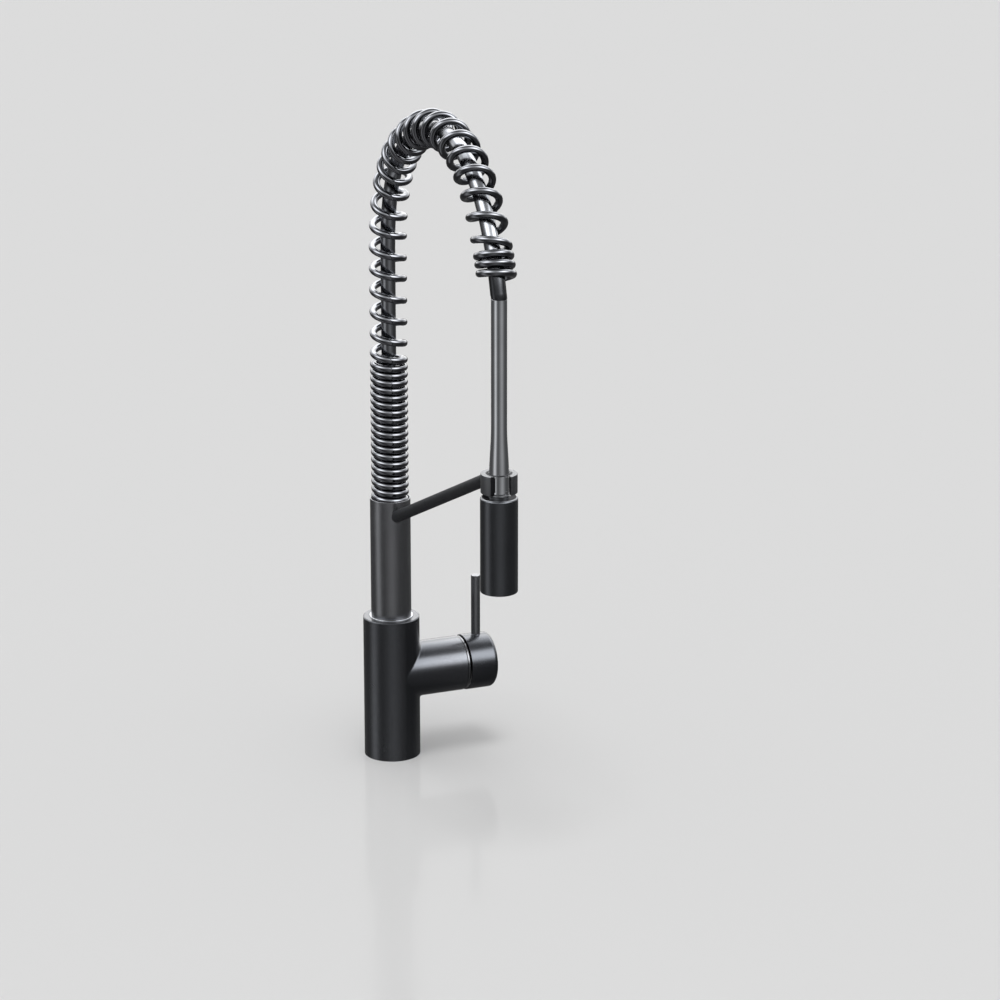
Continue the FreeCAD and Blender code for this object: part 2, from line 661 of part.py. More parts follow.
def hose_flat_seal():
    bottom = D.nipple_end + D.flat_seal_gap
    return tube_z(D.flat_seal_outer, D.flat_seal_inner, bottom, bottom + D.flat_seal_thick)


# ------------------------------------------------------------ arm and holder
def holder_arm():
    """Rising arm shaped to the column and the clip ring, with a stud at its root."""
    arm = cut(arm_rod(D.arm_radius, D.arm_start, D.arm_end), [
        through(rod_z, D.column_radius + D.arm_column_gap, D.column_bottom, D.column_top),
        through(rod_z, D.clip_outer - D.arm_clip_overlap, D.clip_bottom, D.clip_top,
                **ON_WAND)])
    return fuse([arm, arm_rod(D.arm_stud_radius, D.arm_stud_start, D.arm_stud_end)])


# Corners of the clip's mouth: (across, outwards) from the wand axis. Outwards is
# the direction clip_turn gives, mostly -Y and a little -X.
MOUTH = [(-2.5, 9.0), (-10.2, 17.0), (11.2, 17.0), (8.0, 5.5)]
LINER_MOUTH_SPREAD = 0.6


def mouth(spread):
    """Wedge that opens the ring through its whole height, wider by spread each side."""
    name = helper_name("mouth")
    turn = math.radians(D.clip_turn.value)
    outwards = V(math.cos(turn), math.sin(turn), 0)
    across = V(math.cos(turn + math.pi / 2), math.sin(turn + math.pi / 2), 0)
    centre = V(0, -D.reach.value, D.clip_bottom.value - OVERRUN)
    corners = [centre + across * (a + math.copysign(spread, a)) + outwards * b
               for a, b in MOUTH]
    face = Part.Face(Part.makePolygon(corners + corners[:1]))
    height = D.clip_top.value - D.clip_bottom.value + 2 * OVERRUN
    return feature(name, face.extrude(V(0, 0, height)))


def holder_clip():
    return cut(rod_z(D.clip_outer, D.clip_bottom, D.clip_top, **ON_WAND), [
        through(rod_z, D.clip_inner, D.clip_bottom, D.clip_top, **ON_WAND),
        arm_rod(D.arm_radius + D.arm_socket_fit, D.arm_socket_start,
                D.arm_end + D.arm_socket_gap),
        mouth(0.0)])


def clip_liner():
    return cut(
        rod_z(D.clip_inner - D.liner_fit, D.liner_bottom, D.liner_top, **ON_WAND),
        [through(rod_z, D.liner_inner, D.liner_bottom, D.liner_top, **ON_WAND),
         mouth(LINER_MOUTH_SPREAD)])


# ---------------------------------------------- neck line of hose and spring
# Plane curve from the column axis over the top and down to the wand.
# (length above NECK_START_Z, lean of the tangent from the vertical in degrees)
NECK_START_Z = 450.0
NECK_LEAN = [
    (0.0, 0.0), (28.9, 4.6), (57.9, 16.8), (86.8, 32.2), (115.7, 49.6),
    (150.4, 64.2), (185.2, 78.6), (219.9, 94.5), (254.6, 112.1), (289.3, 130.3),
    (324.0, 146.6), (358.7, 156.4), (380.0, 164.0), (393.5, 167.0)]
LINE_STEP = 0.25


def secant(stations, i, j):
    return (stations[j][1] - stations[i][1]) / (stations[j][0] - stations[i][0])


def interpolate(stations, slopes, at):
    """Cubic through (length, value) stations with given slopes, held at both ends."""
    if at <= stations[0][0]:
        return stations[0][1]
    for i in range(len(stations) - 1):
        (start, a), (end, b) = stations[i], stations[i + 1]
        if at <= end:
            width = end - start
            f = (at - start) / width
            slope_a, slope_b = slopes[i] * width, slopes[i + 1] * width
            return ((2 * f**3 - 3 * f**2 + 1) * a + (f**3 - 2 * f**2 + f) * slope_a
                    + (-2 * f**3 + 3 * f**2) * b + (f**3 - f**2) * slope_b)
    return stations[-1][1]


LEAN_SLOPES = ([0.0]
               + [secant(NECK_LEAN, i - 1, i + 1) for i in range(1, len(NECK_LEAN) - 1)]
               + [secant(NECK_LEAN, -2, -1)])


def lean_at(length):
    return math.radians(interpolate(NECK_LEAN, LEAN_SLOPES, length))


def neck_line():
    """Even steps of (length, reach towards -Y, height, lean in radians)."""
    out, z = 0.0, NECK_START_Z
    points = [(0.0, out, z, 0.0)]
    for i in range(int(round(NECK_LEAN[-1][0] / LINE_STEP))):
        lean = lean_at((i + 0.5) * LINE_STEP)
        out += math.sin(lean) * LINE_STEP
        z += math.cos(lean) * LINE_STEP
        points.append(((i + 1) * LINE_STEP, out, z, lean_at((i + 1) * LINE_STEP)))
    # gradual correction so that the line ends exactly on the wand axis
    out_error, z_error = D.reach.value - out, D.wand_top.value - z
    corrected = []
    for length, out, z, lean in points:
        f = length / points[-1][0]
        share = f * f * (3 - 2 * f)
        corrected.append((length, out + out_error * share, z + z_error * share, lean))
    return corrected


LINE = neck_line()
LINE_END = LINE[-1][0]


def on_line(length):
    """Reach, height and lean at a length above NECK_START_Z, straight past both ends."""
    if length <= 0.0:
        return 0.0, NECK_START_Z + length, 0.0
    if length >= LINE_END:
        beyond = length - LINE_END
        _, out, z, lean = LINE[-1]
        return out + math.sin(lean) * beyond, z + math.cos(lean) * beyond, lean
    i = min(int(length / LINE_STEP), len(LINE) - 2)
    f = (length - LINE[i][0]) / LINE_STEP
    a, b = LINE[i], LINE[i + 1]
    return tuple(a[k] + (b[k] - a[k]) * f for k in (1, 2, 3))


def curve_through(points):
    curve = Part.BSplineCurve()
    curve.interpolate(points)
    return curve


def sweep(path, radius, start, direction, frenet):
    """Solid round section swept along a wire from its start."""
    section = Part.Wire([Part.makeCircle(radius, start, direction)])
    return path.makePipeShell([section], True, frenet)


def rod_along(start, end, radius, step):
    """Solid rod along the neck line between two lengths."""
    number = int((end - start) / step)
    points = []
    for i in range(number + 1):
        out, z, _ = on_line(start + (end - start) * i / number)
        points.append(V(0, -out, z))
    lean = on_line(start)[2]
    path = Part.Wire([curve_through(points).toShape()])
    return sweep(path, radius, points[0], V(0, -math.sin(lean), math.cos(lean)), False)


HOSE_BEND_START = -10.0     # length on the neck line where the straight hose ends
HOSE_STEP = 9.0             # spacing of the hose's spline points
SLEEVE_STEP = 4.0
SLEEVE_START = LINE_END - 28.0
SLEEVE_END = LINE_END + 3.0
HOSE_SLEEVE_GAP = 0.05
SWEPT_OVERRUN = 1.0         # how far the swept bores pass the open ends
SLEEVE_WAND_GAP = 0.02


def hose_rod(radius, bottom, end):
    """Straight rod up the column, carried on along the neck line."""
    top = NECK_START_Z + HOSE_BEND_START
    straight = Part.makeCylinder(radius, top - bottom, V(0, 0, bottom))
    return straight.fuse(rod_along(HOSE_BEND_START, end, radius, HOSE_STEP))


def supply_hose():
    bottom = D.hose_start.value
    outer = hose_rod(D.hose_radius.value, bottom, SLEEVE_START - HOSE_SLEEVE_GAP)
    inner = hose_rod(D.hose_bore.value, bottom - SWEPT_OVERRUN, SLEEVE_START + SWEPT_OVERRUN)
    return feature("hose", outer.cut(inner).removeSplitter())


def hose_end_sleeve():
    """Sleeve on the hose's end, cut level just above the wand."""
    outer = rod_along(SLEEVE_START, SLEEVE_END, D.sleeve_radius.value, SLEEVE_STEP)
    inner = rod_along(SLEEVE_START - SWEPT_OVERRUN, SLEEVE_END + SWEPT_OVERRUN,
                      D.sleeve_bore.value, SLEEVE_STEP)
    width, height = 40, 20
    trim = Part.makeBox(width, width, height, V(
        -width / 2, -D.reach.value - width / 2,
        D.wand_top.value + SLEEVE_WAND_GAP - height))
    return feature("sleeve", outer.cut(inner).cut(trim))


# Left-handed coil. A whole turn falls where the wire passes COIL_ANGLE, measured
# from the inside of the bend towards +X.
COIL_ANGLE = math.radians(67.2)
COIL_FIRST_TURN_Z = 244.52
CLOSE_TURNS = 19
# heights of the whole turns above the close-wound part
OPENING_TURNS_Z = [379.1, 397.8, 417.1, 436.6, 454.7, 474.4, 492.7]
# (length above NECK_START_Z, turns): over the top at an open pitch, closing at the end
UPPER_TURNS = [
    (64.0, 26.0), (83.0, 26.995), (100.0, 27.99), (117.5, 28.98),
    (167.0, 31.45), (216.0, 33.92), (265.0, 36.39), (283.5, 37.39), (303.5, 38.39),
    (322.8, 39.38), (341.5, 40.36), (352.0, 40.90), (359.3, 41.88), (366.6, 42.88),
    (374.0, 43.88), (375.8, 44.12)]
COIL_SAMPLES = 20000
POINTS_PER_TURN = 14


def coil_stations():
    """(length above NECK_START_Z, turns) from the spring's foot to its end."""
    bottom, pitch = D.spring_bottom.value, D.close_pitch.value
    heights = [COIL_FIRST_TURN_Z + pitch * i for i in range(CLOSE_TURNS)] + OPENING_TURNS_Z
    foot = (bottom - NECK_START_Z, (bottom - COIL_FIRST_TURN_Z) / pitch)
    turns = [(z - NECK_START_Z, float(i)) for i, z in enumerate(heights)]
    return [foot] + turns + UPPER_TURNS


def coil_slopes(stations):
    """Harmonic means of neighbouring slopes, so that the turns never run back."""
    steps = [secant(stations, i, i + 1) for i in range(len(stations) - 1)]
    means = [2 * a * b / (a + b) for a, b in zip(steps, steps[1:])]
    return [steps[0]] + means + [steps[-1]]


def coil_point(length, turns):
    out, z, lean = on_line(length)
    inward = V(0, -math.cos(lean), -math.sin(lean))
    angle = COIL_ANGLE - 2 * math.pi * turns
    radial = inward * math.cos(angle) + V(1, 0, 0) * math.sin(angle)
    return V(0, -out, z) + radial * D.spring_mean.value


def neck_spring():
    stations = coil_stations()
    slopes = coil_slopes(stations)
    start, end = stations[0][0], stations[-1][0]
    lengths = [start + (end - start) * i / COIL_SAMPLES for i in range(COIL_SAMPLES + 1)]
    turns = [interpolate(stations, slopes, length) for length in lengths]
    total = turns[-1] - turns[0]
    number = int(total * POINTS_PER_TURN)
    # points at even steps in turns
    points, j = [], 0
    for i in range(number + 1):
        wanted = turns[0] + total * i / number
        while j < COIL_SAMPLES - 1 and turns[j + 1] < wanted:
            j += 1
        f = (wanted - turns[j]) / (turns[j + 1] - turns[j])
        length = lengths[j] + (lengths[j + 1] - lengths[j]) * f
        points.append(coil_point(length, interpolate(stations, slopes, length)))
    curve = curve_through(points)
    direction = curve.tangent(curve.FirstParameter)[0]
    path = Part.Wire([curve.toShape()])
    return feature("coil", sweep(path, D.wire_radius.value, points[0], direction, True))


# ---------------------------------------------------------------------- wand
# Taper of the wand neck: (inset from neck_flare_radius, height above neck_flare_mid)
NECK_TAPER = [(0.0, -12.0), (0.12, 0.0), (0.65, 8.0), (1.18, 16.0)]
STRAIGHTENER_HOLES = 8
JET_RINGS = [(D.jet_ring_a, 8), (D.jet_ring_b, 16)]  # ring radius, number of jets


def hose_swivel_nipple():
    collar_bottom = D.nipple_bottom + D.nipple_collar_start
    collar_top = D.nipple_bottom + D.nipple_collar_end
    top = D.wand_top - D.nipple_top_gap
    return revolved("hose_swivel_nipple", [
        (D.hose_nipple_bore, D.nipple_bottom), (D.hose_nipple_shank, D.nipple_bottom),
        (D.hose_nipple_shank, collar_bottom), (D.hose_nipple_radius, collar_bottom),
        (D.hose_nipple_radius, collar_top), (D.hose_nipple_shank, collar_top),
        (D.hose_nipple_shank, top), (D.hose_nipple_bore, top)], **ON_WAND)


def wand_neck():
    top = D.wand_top - D.neck_top_gap
    taper = [(D.neck_flare_radius - inset, D.neck_flare_mid + height)
             for inset, height in NECK_TAPER]
    return revolved("wand_neck", [
        (D.neck_bore, D.neck_bottom), (D.neck_flare_radius, D.neck_bottom)] + taper + [
        (D.neck_radius, D.neck_flare_top), (D.neck_radius, top), (D.neck_bore, top)],
        **ON_WAND)


def spray_shell():
    hole = D.neck_flare_radius + D.head_neck_fit
    inner = D.head_radius - D.head_wall
    ceiling = D.head_top - D.head_roof
    head = revolved("spray_shell", [
        (hole, D.head_top), (D.head_radius, D.head_top), (D.head_radius, D.head_bottom),
        (inner, D.head_bottom), (inner, ceiling), (hole, ceiling)], **ON_WAND)
    dress_edges(head, D.head_shoulder, D.head_radius, height=D.head_top)
    dress_edges(head, D.head_edge, D.head_radius, height=D.head_bottom)
    return head


def spray_waterway():
    """Insert with a waist outside and a wider chamber inside."""
    waist = D.insert_radius - D.insert_waist_depth
    waist_bottom = D.insert_bottom + D.insert_lower_collar
    waist_top = D.insert_top - D.insert_upper_collar
    chamber_top = D.insert_top - D.insert_roof
    chamber_bottom = D.insert_bottom + D.chamber_rise
    return revolved("spray_waterway", [
        (D.insert_bore, D.insert_bottom), (D.insert_radius, D.insert_bottom),
        (D.insert_radius, waist_bottom), (waist, waist_bottom),
        (waist, waist_top), (D.insert_radius, waist_top),
        (D.insert_radius, D.insert_top), (D.insert_bore, D.insert_top),
        (D.insert_bore, chamber_top), (D.chamber_radius, chamber_top),
        (D.chamber_radius, chamber_bottom), (D.insert_bore, chamber_bottom)], **ON_WAND)


def waterway_o_ring():
    return torus(D.insert_radius - D.insert_ring_inset, D.insert_ring_section,
                 z=D.insert_bottom + D.insert_ring_rise, **ON_WAND)


def neck_lock_nut():
    hole = D.neck_flare_radius + D.lock_nut_fit
    bottom, top = D.insert_top + D.lock_nut_lift, D.head_top - D.lock_nut_drop
    return revolved("neck_lock_nut", [
        (hole, bottom), (D.lock_nut_radius, bottom), (D.lock_nut_radius, top),
        (hole, top)], **ON_WAND)


def hole_ring(radius, ring_radius, number, bottom, top):
    """Upright holes evenly round the wand axis."""
    angles = [2 * math.pi * i / number for i in range(number)]
    return [through(rod_z, radius, bottom, top, x=ring_radius * math.cos(angle),
                    y=ring_radius * math.sin(angle) - D.reach) for angle in angles]


def flow_straightener():
    bottom, top = D.straightener_bottom, D.straightener_top
    return cut(
        rod_z(D.straightener_radius, bottom, top, **ON_WAND),
        hole_ring(D.straightener_hole, D.straightener_ring, STRAIGHTENER_HOLES, bottom, top)
        + [through(rod_z, D.straightener_centre_hole, bottom, top, **ON_WAND)])


def straightener_seal():
    return torus(D.straightener_radius - D.straightener_seal_inset,
                 D.straightener_seal_section,
                 z=D.straightener_top + D.straightener_seal_rise, **ON_WAND)


def nozzle_plate():
    bottom, top = D.plate_bottom, D.plate_top
    plate = rod_z(D.plate_radius, bottom, top, **ON_WAND)
    jets = [through(rod_z, D.jet_radius, bottom, top, **ON_WAND)]
    for ring_radius, number in JET_RINGS:
        jets += hole_ring(D.jet_radius, ring_radius, number, bottom, top)
    return cut(plate, jets)


def check_poppet():
    bottom = D.insert_bottom + D.poppet_stem_rise
    head_bottom = D.insert_top - D.poppet_head_drop
    top = D.insert_top - D.poppet_top_drop
    return revolved("check_poppet", [
        (0.0, bottom), (D.poppet_stem_radius, bottom), (D.poppet_stem_radius, head_bottom),
        (D.poppet_head_radius, head_bottom),
        (D.poppet_head_radius, D.insert_top - D.poppet_bevel_drop),
        (D.poppet_bevel_radius, top), (0.0, top)], **ON_WAND)


def check_spring():
    bottom = (D.insert_bottom + D.check_spring_rise).value
    top = (D.insert_top - D.check_spring_drop).value
    helix = Part.makeHelix(D.check_spring_pitch.value, top - bottom,
                           D.check_spring_radius.value)
    helix.translate(V(0, -D.reach.value, bottom))
    edge = helix.Edges[0]
    first = edge.FirstParameter
    return feature("poppet_spring", sweep(
        Part.Wire(helix.Edges), D.check_spring_wire.value,
        edge.valueAt(first), edge.tangentAt(first), True))


# ----------------------------------------------------- build, check and write
# each piece takes the name of the function that builds it
PIECES = [
    tee_body, base_gasket,
    cartridge_housing, cartridge_port_seals, fixed_ceramic_disc, moving_ceramic_disc,
    stem_carrier, stem_pivot_pin, cartridge_stem, cartridge_nut, valve_trim_ring,
    handle_cap, lever_rod, handle_set_screw, set_screw_plug,
    lower_swivel_bush, upper_swivel_bush, swivel_thrust_washer, spout_retaining_screw,
    swivel_spigot, spigot_o_rings,
    column_tube, spring_seat, hose_lower_fitting, hose_flat_seal,
    holder_arm, holder_clip, clip_liner,
    supply_hose, hose_end_sleeve, neck_spring,
    hose_swivel_nipple, wand_neck, spray_shell, spray_waterway, waterway_o_ring,
    neck_lock_nut, flow_straightener, straightener_seal, nozzle_plate,
    check_poppet, check_spring,
]
nodes = {}
for build in PIECES:
    piece = build()
    piece.Label = build.__name__
    nodes[build.__name__] = piece
doc.recompute()

failed = [obj.Label for obj in doc.Objects if "Invalid" in obj.State or "Error" in obj.State]
for name, obj in nodes.items():
    if obj.Shape.isNull() or not obj.Shape.isValid() or not obj.Shape.Solids:
        failed.append(name)
if failed:
    raise SystemExit("failed objects: " + ", ".join(failed))

for name, obj in nodes.items():
    obj.Shape.exportStep(os.path.join("parts", name + ".step"))
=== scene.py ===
"""A tap with a tall sprung neck, standing upright on the Z axis.

The column stands on Z. The neck rises from it and arches over towards -Y, down to the spray
wand, which hangs upright at y = -REACH. The valve lies along +X and carries the handle. An arm
from the column ends in an open clip round the wand. Sizes are in mm, taken to metres when a
mesh is made.
"""
import json
import math

import bmesh
import bpy
from mathutils import Matrix, Vector


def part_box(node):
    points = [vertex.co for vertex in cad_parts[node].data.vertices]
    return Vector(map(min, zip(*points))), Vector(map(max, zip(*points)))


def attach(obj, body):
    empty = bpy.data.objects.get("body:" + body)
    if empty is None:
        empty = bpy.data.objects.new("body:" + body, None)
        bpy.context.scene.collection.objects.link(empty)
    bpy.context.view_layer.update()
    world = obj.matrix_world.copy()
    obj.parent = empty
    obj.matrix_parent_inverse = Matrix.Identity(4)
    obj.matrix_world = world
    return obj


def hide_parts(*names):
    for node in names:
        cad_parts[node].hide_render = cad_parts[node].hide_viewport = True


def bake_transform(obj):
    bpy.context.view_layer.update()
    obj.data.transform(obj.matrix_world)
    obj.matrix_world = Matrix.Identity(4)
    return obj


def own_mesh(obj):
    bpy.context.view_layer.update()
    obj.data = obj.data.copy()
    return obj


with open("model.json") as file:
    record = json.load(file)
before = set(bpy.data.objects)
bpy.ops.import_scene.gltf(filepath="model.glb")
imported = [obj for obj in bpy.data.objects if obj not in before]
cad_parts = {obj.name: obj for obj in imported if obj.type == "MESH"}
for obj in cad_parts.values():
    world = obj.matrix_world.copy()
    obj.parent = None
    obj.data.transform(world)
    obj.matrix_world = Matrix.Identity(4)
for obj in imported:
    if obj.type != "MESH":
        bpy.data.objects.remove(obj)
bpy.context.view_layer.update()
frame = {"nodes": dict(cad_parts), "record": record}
NODES = frame["nodes"]
SCENE = bpy.context.scene
MM = 0.001

# ---------------------------------------------------------- shared sizes
VALVE_Z = 76.4        # height of the valve axis
REACH = 247.1         # from the column axis to the wand axis, along -Y
COLUMN_R = 17.84
NECK_BASE_Z = 450.0   # where the neck line starts to lean
WAND_TOP = 471.9
JOINT_Z = WAND_TOP + 1.4   # level joint between sleeve and wand neck
WAND_R = 6.5

CAP_R = 25.0          # handle cap
LEVER_X, LEVER_R = 81.0, 4.07

WAND_FOOT = Vector((0, -REACH, 0))
VALVE_AXIS = Vector((0, 0, VALVE_Z))
X_AXIS, Y_AXIS = Vector((1, 0, 0)), Vector((0, 1, 0))
Z_TO_X = Matrix.Rotation(math.radians(90), 3, "Y")

# The camera looks along +Y, turned this many degrees towards +X.
VIEW_AZIMUTH = 22.83
VIEW_COS = math.cos(math.radians(VIEW_AZIMUTH))
VIEW_SIN = math.sin(math.radians(VIEW_AZIMUTH))
VIEW_RIGHT = Vector((VIEW_COS, -VIEW_SIN, 0))
VIEW_BACK = Vector((-VIEW_SIN, -VIEW_COS, 0))    # towards the camera
# x and y of the camera's right, as the materials use it
SHADE_X, SHADE_Y = round(VIEW_COS, 4), -round(VIEW_SIN, 4)


# ---------------------------------------------------------- shader nodes
def set_inputs(tree, node, inputs):
    """Fills inputs by name or index, each with a value or with a link from a socket."""
    for key, value in inputs.items():
        if isinstance(value, bpy.types.NodeSocket):
            tree.links.new(value, node.inputs[key])
        else:
            node.inputs[key].default_value = value


def add_node(tree, kind, inputs=None, **settings):
    node = tree.nodes.new("ShaderNode" + kind)
    for key, value in settings.items():
        setattr(node, key, value)
    set_inputs(tree, node, inputs or {})
    return node


def math_node(tree, operation, a, b=None):
    inputs = {0: a} if b is None else {0: a, 1: b}
    return add_node(tree, "Math", inputs, operation=operation).outputs[0]


def map_range(tree, value, start, end, to_start=0.0, to_end=1.0, **settings):
    inputs = {"Value": value, "From Min": start, "From Max": end,
              "To Min": to_start, "To Max": to_end}
    return add_node(tree, "MapRange", inputs, **settings).outputs["Result"]


def noise(tree, vector, scale, detail, **more):
    inputs = {"Vector": vector, "Scale": scale, "Detail": detail, **more}
    return add_node(tree, "TexNoise", inputs).outputs["Fac"]


def empty_tree(owner):
    owner.use_nodes = True
    owner.node_tree.nodes.clear()
    return owner.node_tree


# ---------------------------------------------------------- materials
def drifting_colour(tree, vector, colour, vary, scale):
    """Broad drift of the colour, darker and lighter by the share vary."""
    drift = noise(tree, vector, scale=scale, detail=5.0, Roughness=0.6)
    ramp = add_node(tree, "ValToRGB", {"Fac": drift})
    low, high = ramp.color_ramp.elements
    low.position = 0.3
    low.color = (*[max(0.0, c * (1 - vary)) for c in colour], 1)
    high.position = 0.7
    high.color = (*[min(1.0, c * (1 + vary)) for c in colour], 1)
    return ramp.outputs["Color"]


def worn_edges(tree, coords, colour, wear, wear_colour):
    """Gritty wear on the edges that stand out."""
    geometry = add_node(tree, "NewGeometry")
    edge = map_range(tree, geometry.outputs["Pointiness"], start=0.53, end=0.62, to_end=wear)
    grit = noise(tree, coords, scale=700.0, detail=4.0)
    amount = math_node(tree, "MULTIPLY", edge, grit)
    mix = add_node(tree, "Mix", {"Factor": amount, "A": colour, "B": (*wear_colour, 1)},
                   data_type="RGBA")
    return mix.outputs["Result"]


def leaning_normal(tree, normal, lean):
    """Turns the shine round an upright tube, as a soft box standing close by would."""
    tilt = (SHADE_X * lean, SHADE_Y * lean, 0.0)
    tilted = add_node(tree, "VectorMath", {0: normal, 1: tilt}, operation="ADD")
    unit = add_node(tree, "VectorMath", {0: tilted.outputs[0]}, operation="NORMALIZE")
    return unit.outputs[0]


def make_material(name, colour, roughness, metallic=0.0,
                  vary=0.12, vary_scale=60.0, rough_vary=0.06,    # drift of colour and roughness
                  bump=0.02, bump_scale=900.0,                    # fine surface grain
                  stretch=(1, 1, 1),                              # scale of the noise per axis
                  wear=0.0, wear_colour=(0.3, 0.3, 0.32),         # bare edges
                  specular=0.5, lean=0.0):
    material = bpy.data.materials.new(name)
    tree = empty_tree(material)
    output = add_node(tree, "OutputMaterial")
    surface = add_node(tree, "BsdfPrincipled")
    tree.links.new(surface.outputs["BSDF"], output.inputs["Surface"])
    coords = add_node(tree, "TexCoord").outputs["Object"]
    mapping = add_node(tree, "Mapping", {"Scale": stretch, "Vector": coords})
    vector = mapping.outputs["Vector"]

    base = drifting_colour(tree, vector, colour, vary, vary_scale)
    if wear > 0.0:
        base = worn_edges(tree, coords, base, wear, wear_colour)
    wiping = noise(tree, vector, scale=vary_scale * 2.3, detail=6.0)
    rough = map_range(tree, wiping, start=0.25, end=0.75,
                      to_start=max(0.02, roughness - rough_vary),
                      to_end=min(1.0, roughness + rough_vary))
    grain = noise(tree, vector, scale=bump_scale, detail=3.0)
    normal = add_node(tree, "Bump", {"Strength": bump, "Distance": 0.0002,
                                     "Height": grain}).outputs["Normal"]
    if lean:
        normal = leaning_normal(tree, normal, lean)
    set_inputs(tree, surface, {
        "Base Color": base, "Roughness": rough, "Normal": normal, "Metallic": metallic,
        "Specular IOR Level": specular, "Coat Weight": 0.0, "Coat Roughness": 0.1})
    return material


SATIN = dict(metallic=0.85, vary=0.05, vary_scale=35, rough_vary=0.03, bump=0.03,
             bump_scale=1800)
LOOKS = {
    "satin_gunmetal": dict(colour=(0.036, 0.0385, 0.0435), roughness=0.25, **SATIN,
                           wear=0.25, wear_colour=(0.26, 0.265, 0.28)),
    "satin_column": dict(colour=(0.132, 0.135, 0.143), roughness=0.24, **SATIN, wear=0.2),
    "satin_head": dict(colour=(0.056, 0.059, 0.065), roughness=0.24, **SATIN, wear=0.2),
    "trim_black": dict(colour=(0.075, 0.077, 0.082), roughness=0.22, metallic=0.9,
                       vary=0.06),
    "matte_arm": dict(colour=(0.021, 0.022, 0.024), roughness=0.55, vary=0.10, vary_scale=80,
                      bump=0.10, bump_scale=2400, specular=0.04),
    "matt_black_metal": dict(colour=(0.066, 0.068, 0.073), roughness=0.40, metallic=0.7,
                             vary=0.08, vary_scale=70, bump=0.08, bump_scale=2200, wear=0.25),
    "dark_chrome": dict(colour=(0.40, 0.41, 0.43), roughness=0.13, metallic=1.0, lean=-0.27,
                        vary=0.05, vary_scale=50, rough_vary=0.03, bump_scale=1400,
                        wear=0.2, wear_colour=(0.5, 0.5, 0.52)),
    "spring_chrome": dict(colour=(0.095, 0.098, 0.106), roughness=0.085, metallic=1.0,
                          vary=0.10, vary_scale=120, rough_vary=0.03, bump=0.03,
                          bump_scale=2500),
    "dark_hose": dict(colour=(0.17, 0.177, 0.19), roughness=0.21, metallic=1.0, lean=-0.18,
                      vary=0.08, vary_scale=90, rough_vary=0.04, bump=0.04, bump_scale=1600),
    "ferrule_black": dict(colour=(0.042, 0.044, 0.048), roughness=0.14, metallic=0.9,
                          vary=0.1, vary_scale=80, rough_vary=0.03, bump=0.03),
    "brass_raw": dict(colour=(0.72, 0.55, 0.24), roughness=0.28, metallic=1.0,
                      vary_scale=80, bump=0.08, bump_scale=1500, stretch=(1, 1, 8)),
    "steel": dict(colour=(0.58, 0.58, 0.60), roughness=0.25, metallic=1.0, vary=0.08,
                  vary_scale=150, bump=0.05),
    "rubber": dict(colour=(0.022, 0.022, 0.023), roughness=0.6, vary=0.2, vary_scale=200,
                   bump=0.2),
    "ceramic_white": dict(colour=(0.86, 0.85, 0.81), roughness=0.18, vary=0.03,
                          vary_scale=120),
    "plastic_white": dict(colour=(0.80, 0.80, 0.78), roughness=0.42, vary=0.04,
                          vary_scale=100, bump=0.06),
    "stem_metal": dict(colour=(0.66, 0.53, 0.28), roughness=0.3, metallic=1.0, vary=0.1,
                       vary_scale=120, bump=0.05),
    "plastic_grey": dict(colour=(0.045, 0.046, 0.05), roughness=0.45, vary=0.15,
                         vary_scale=140, bump=0.15, bump_scale=2600),
    "bright_washer": dict(colour=(0.34, 0.35, 0.37), roughness=0.2, metallic=1.0, vary=0.06,
                          vary_scale=90, bump=0.03),
    "silicone": dict(colour=(0.085, 0.087, 0.093), roughness=0.5, vary=0.1, vary_scale=300,
                     bump=0.1),
}
MATERIALS = {name: make_material(name, **look) for name, look in LOOKS.items()}


def paint_shade(name, mask, shade):
    """Mixes painted shade, a flat dark colour, into a material where mask, given the node tree,
    says so.
    """
    tree = MATERIALS[name].node_tree
    output = next(n for n in tree.nodes if n.type == "OUTPUT_MATERIAL")
    lit = output.inputs["Surface"].links[0].from_socket
    mix = add_node(tree, "MixShader")
    painted_shade = add_node(tree, "BsdfDiffuse", {"Color": (*shade, 1)})
    set_inputs(tree, mix, {0: mask(tree), 1: lit, 2: painted_shade.outputs[0]})
    tree.links.new(mix.outputs[0], output.inputs["Surface"])


def top_shade_mask(tree):
    """Faces that look straight up: the spray head's top, darkened by painted shade."""
    coords = add_node(tree, "TexCoord")
    normal = add_node(tree, "SeparateXYZ", {0: coords.outputs["Normal"]})
    return map_range(tree, normal.outputs[2], start=0.97, end=0.999, to_end=0.88)


def mouth_shade_mask(tree):
    """Cut faces and inside of the open ring, darkened by painted shade for the shade they lie
    in.
    """
    facing = 0.3                             # least share of the normal that looks across
    left_edge, right_edge = 0.0954, 0.1004   # metres along the camera's right
    strength = 0.8
    coords = add_node(tree, "TexCoord")
    normal = add_node(tree, "SeparateXYZ", {0: coords.outputs["Normal"]})
    place = add_node(tree, "SeparateXYZ", {0: coords.outputs["Object"]})
    normal_across, place_across = [
        math_node(tree, "ADD", math_node(tree, "MULTIPLY", split.outputs[0], SHADE_X),
                  math_node(tree, "MULTIPLY", split.outputs[1], SHADE_Y))
        for split in (normal, place)]
    left = math_node(tree, "MULTIPLY",
                     math_node(tree, "GREATER_THAN", normal_across, facing),
                     math_node(tree, "LESS_THAN", place_across, left_edge))
    right = math_node(tree, "MULTIPLY",
                      math_node(tree, "LESS_THAN", normal_across, -facing),
                      math_node(tree, "GREATER_THAN", place_across, right_edge))
    return math_node(tree, "MULTIPLY", math_node(tree, "MAXIMUM", left, right), strength)


# painted shade: the spray head's top gets a flat dark colour in place of shade
paint_shade("satin_head", top_shade_mask, shade=(0.012, 0.012, 0.013))
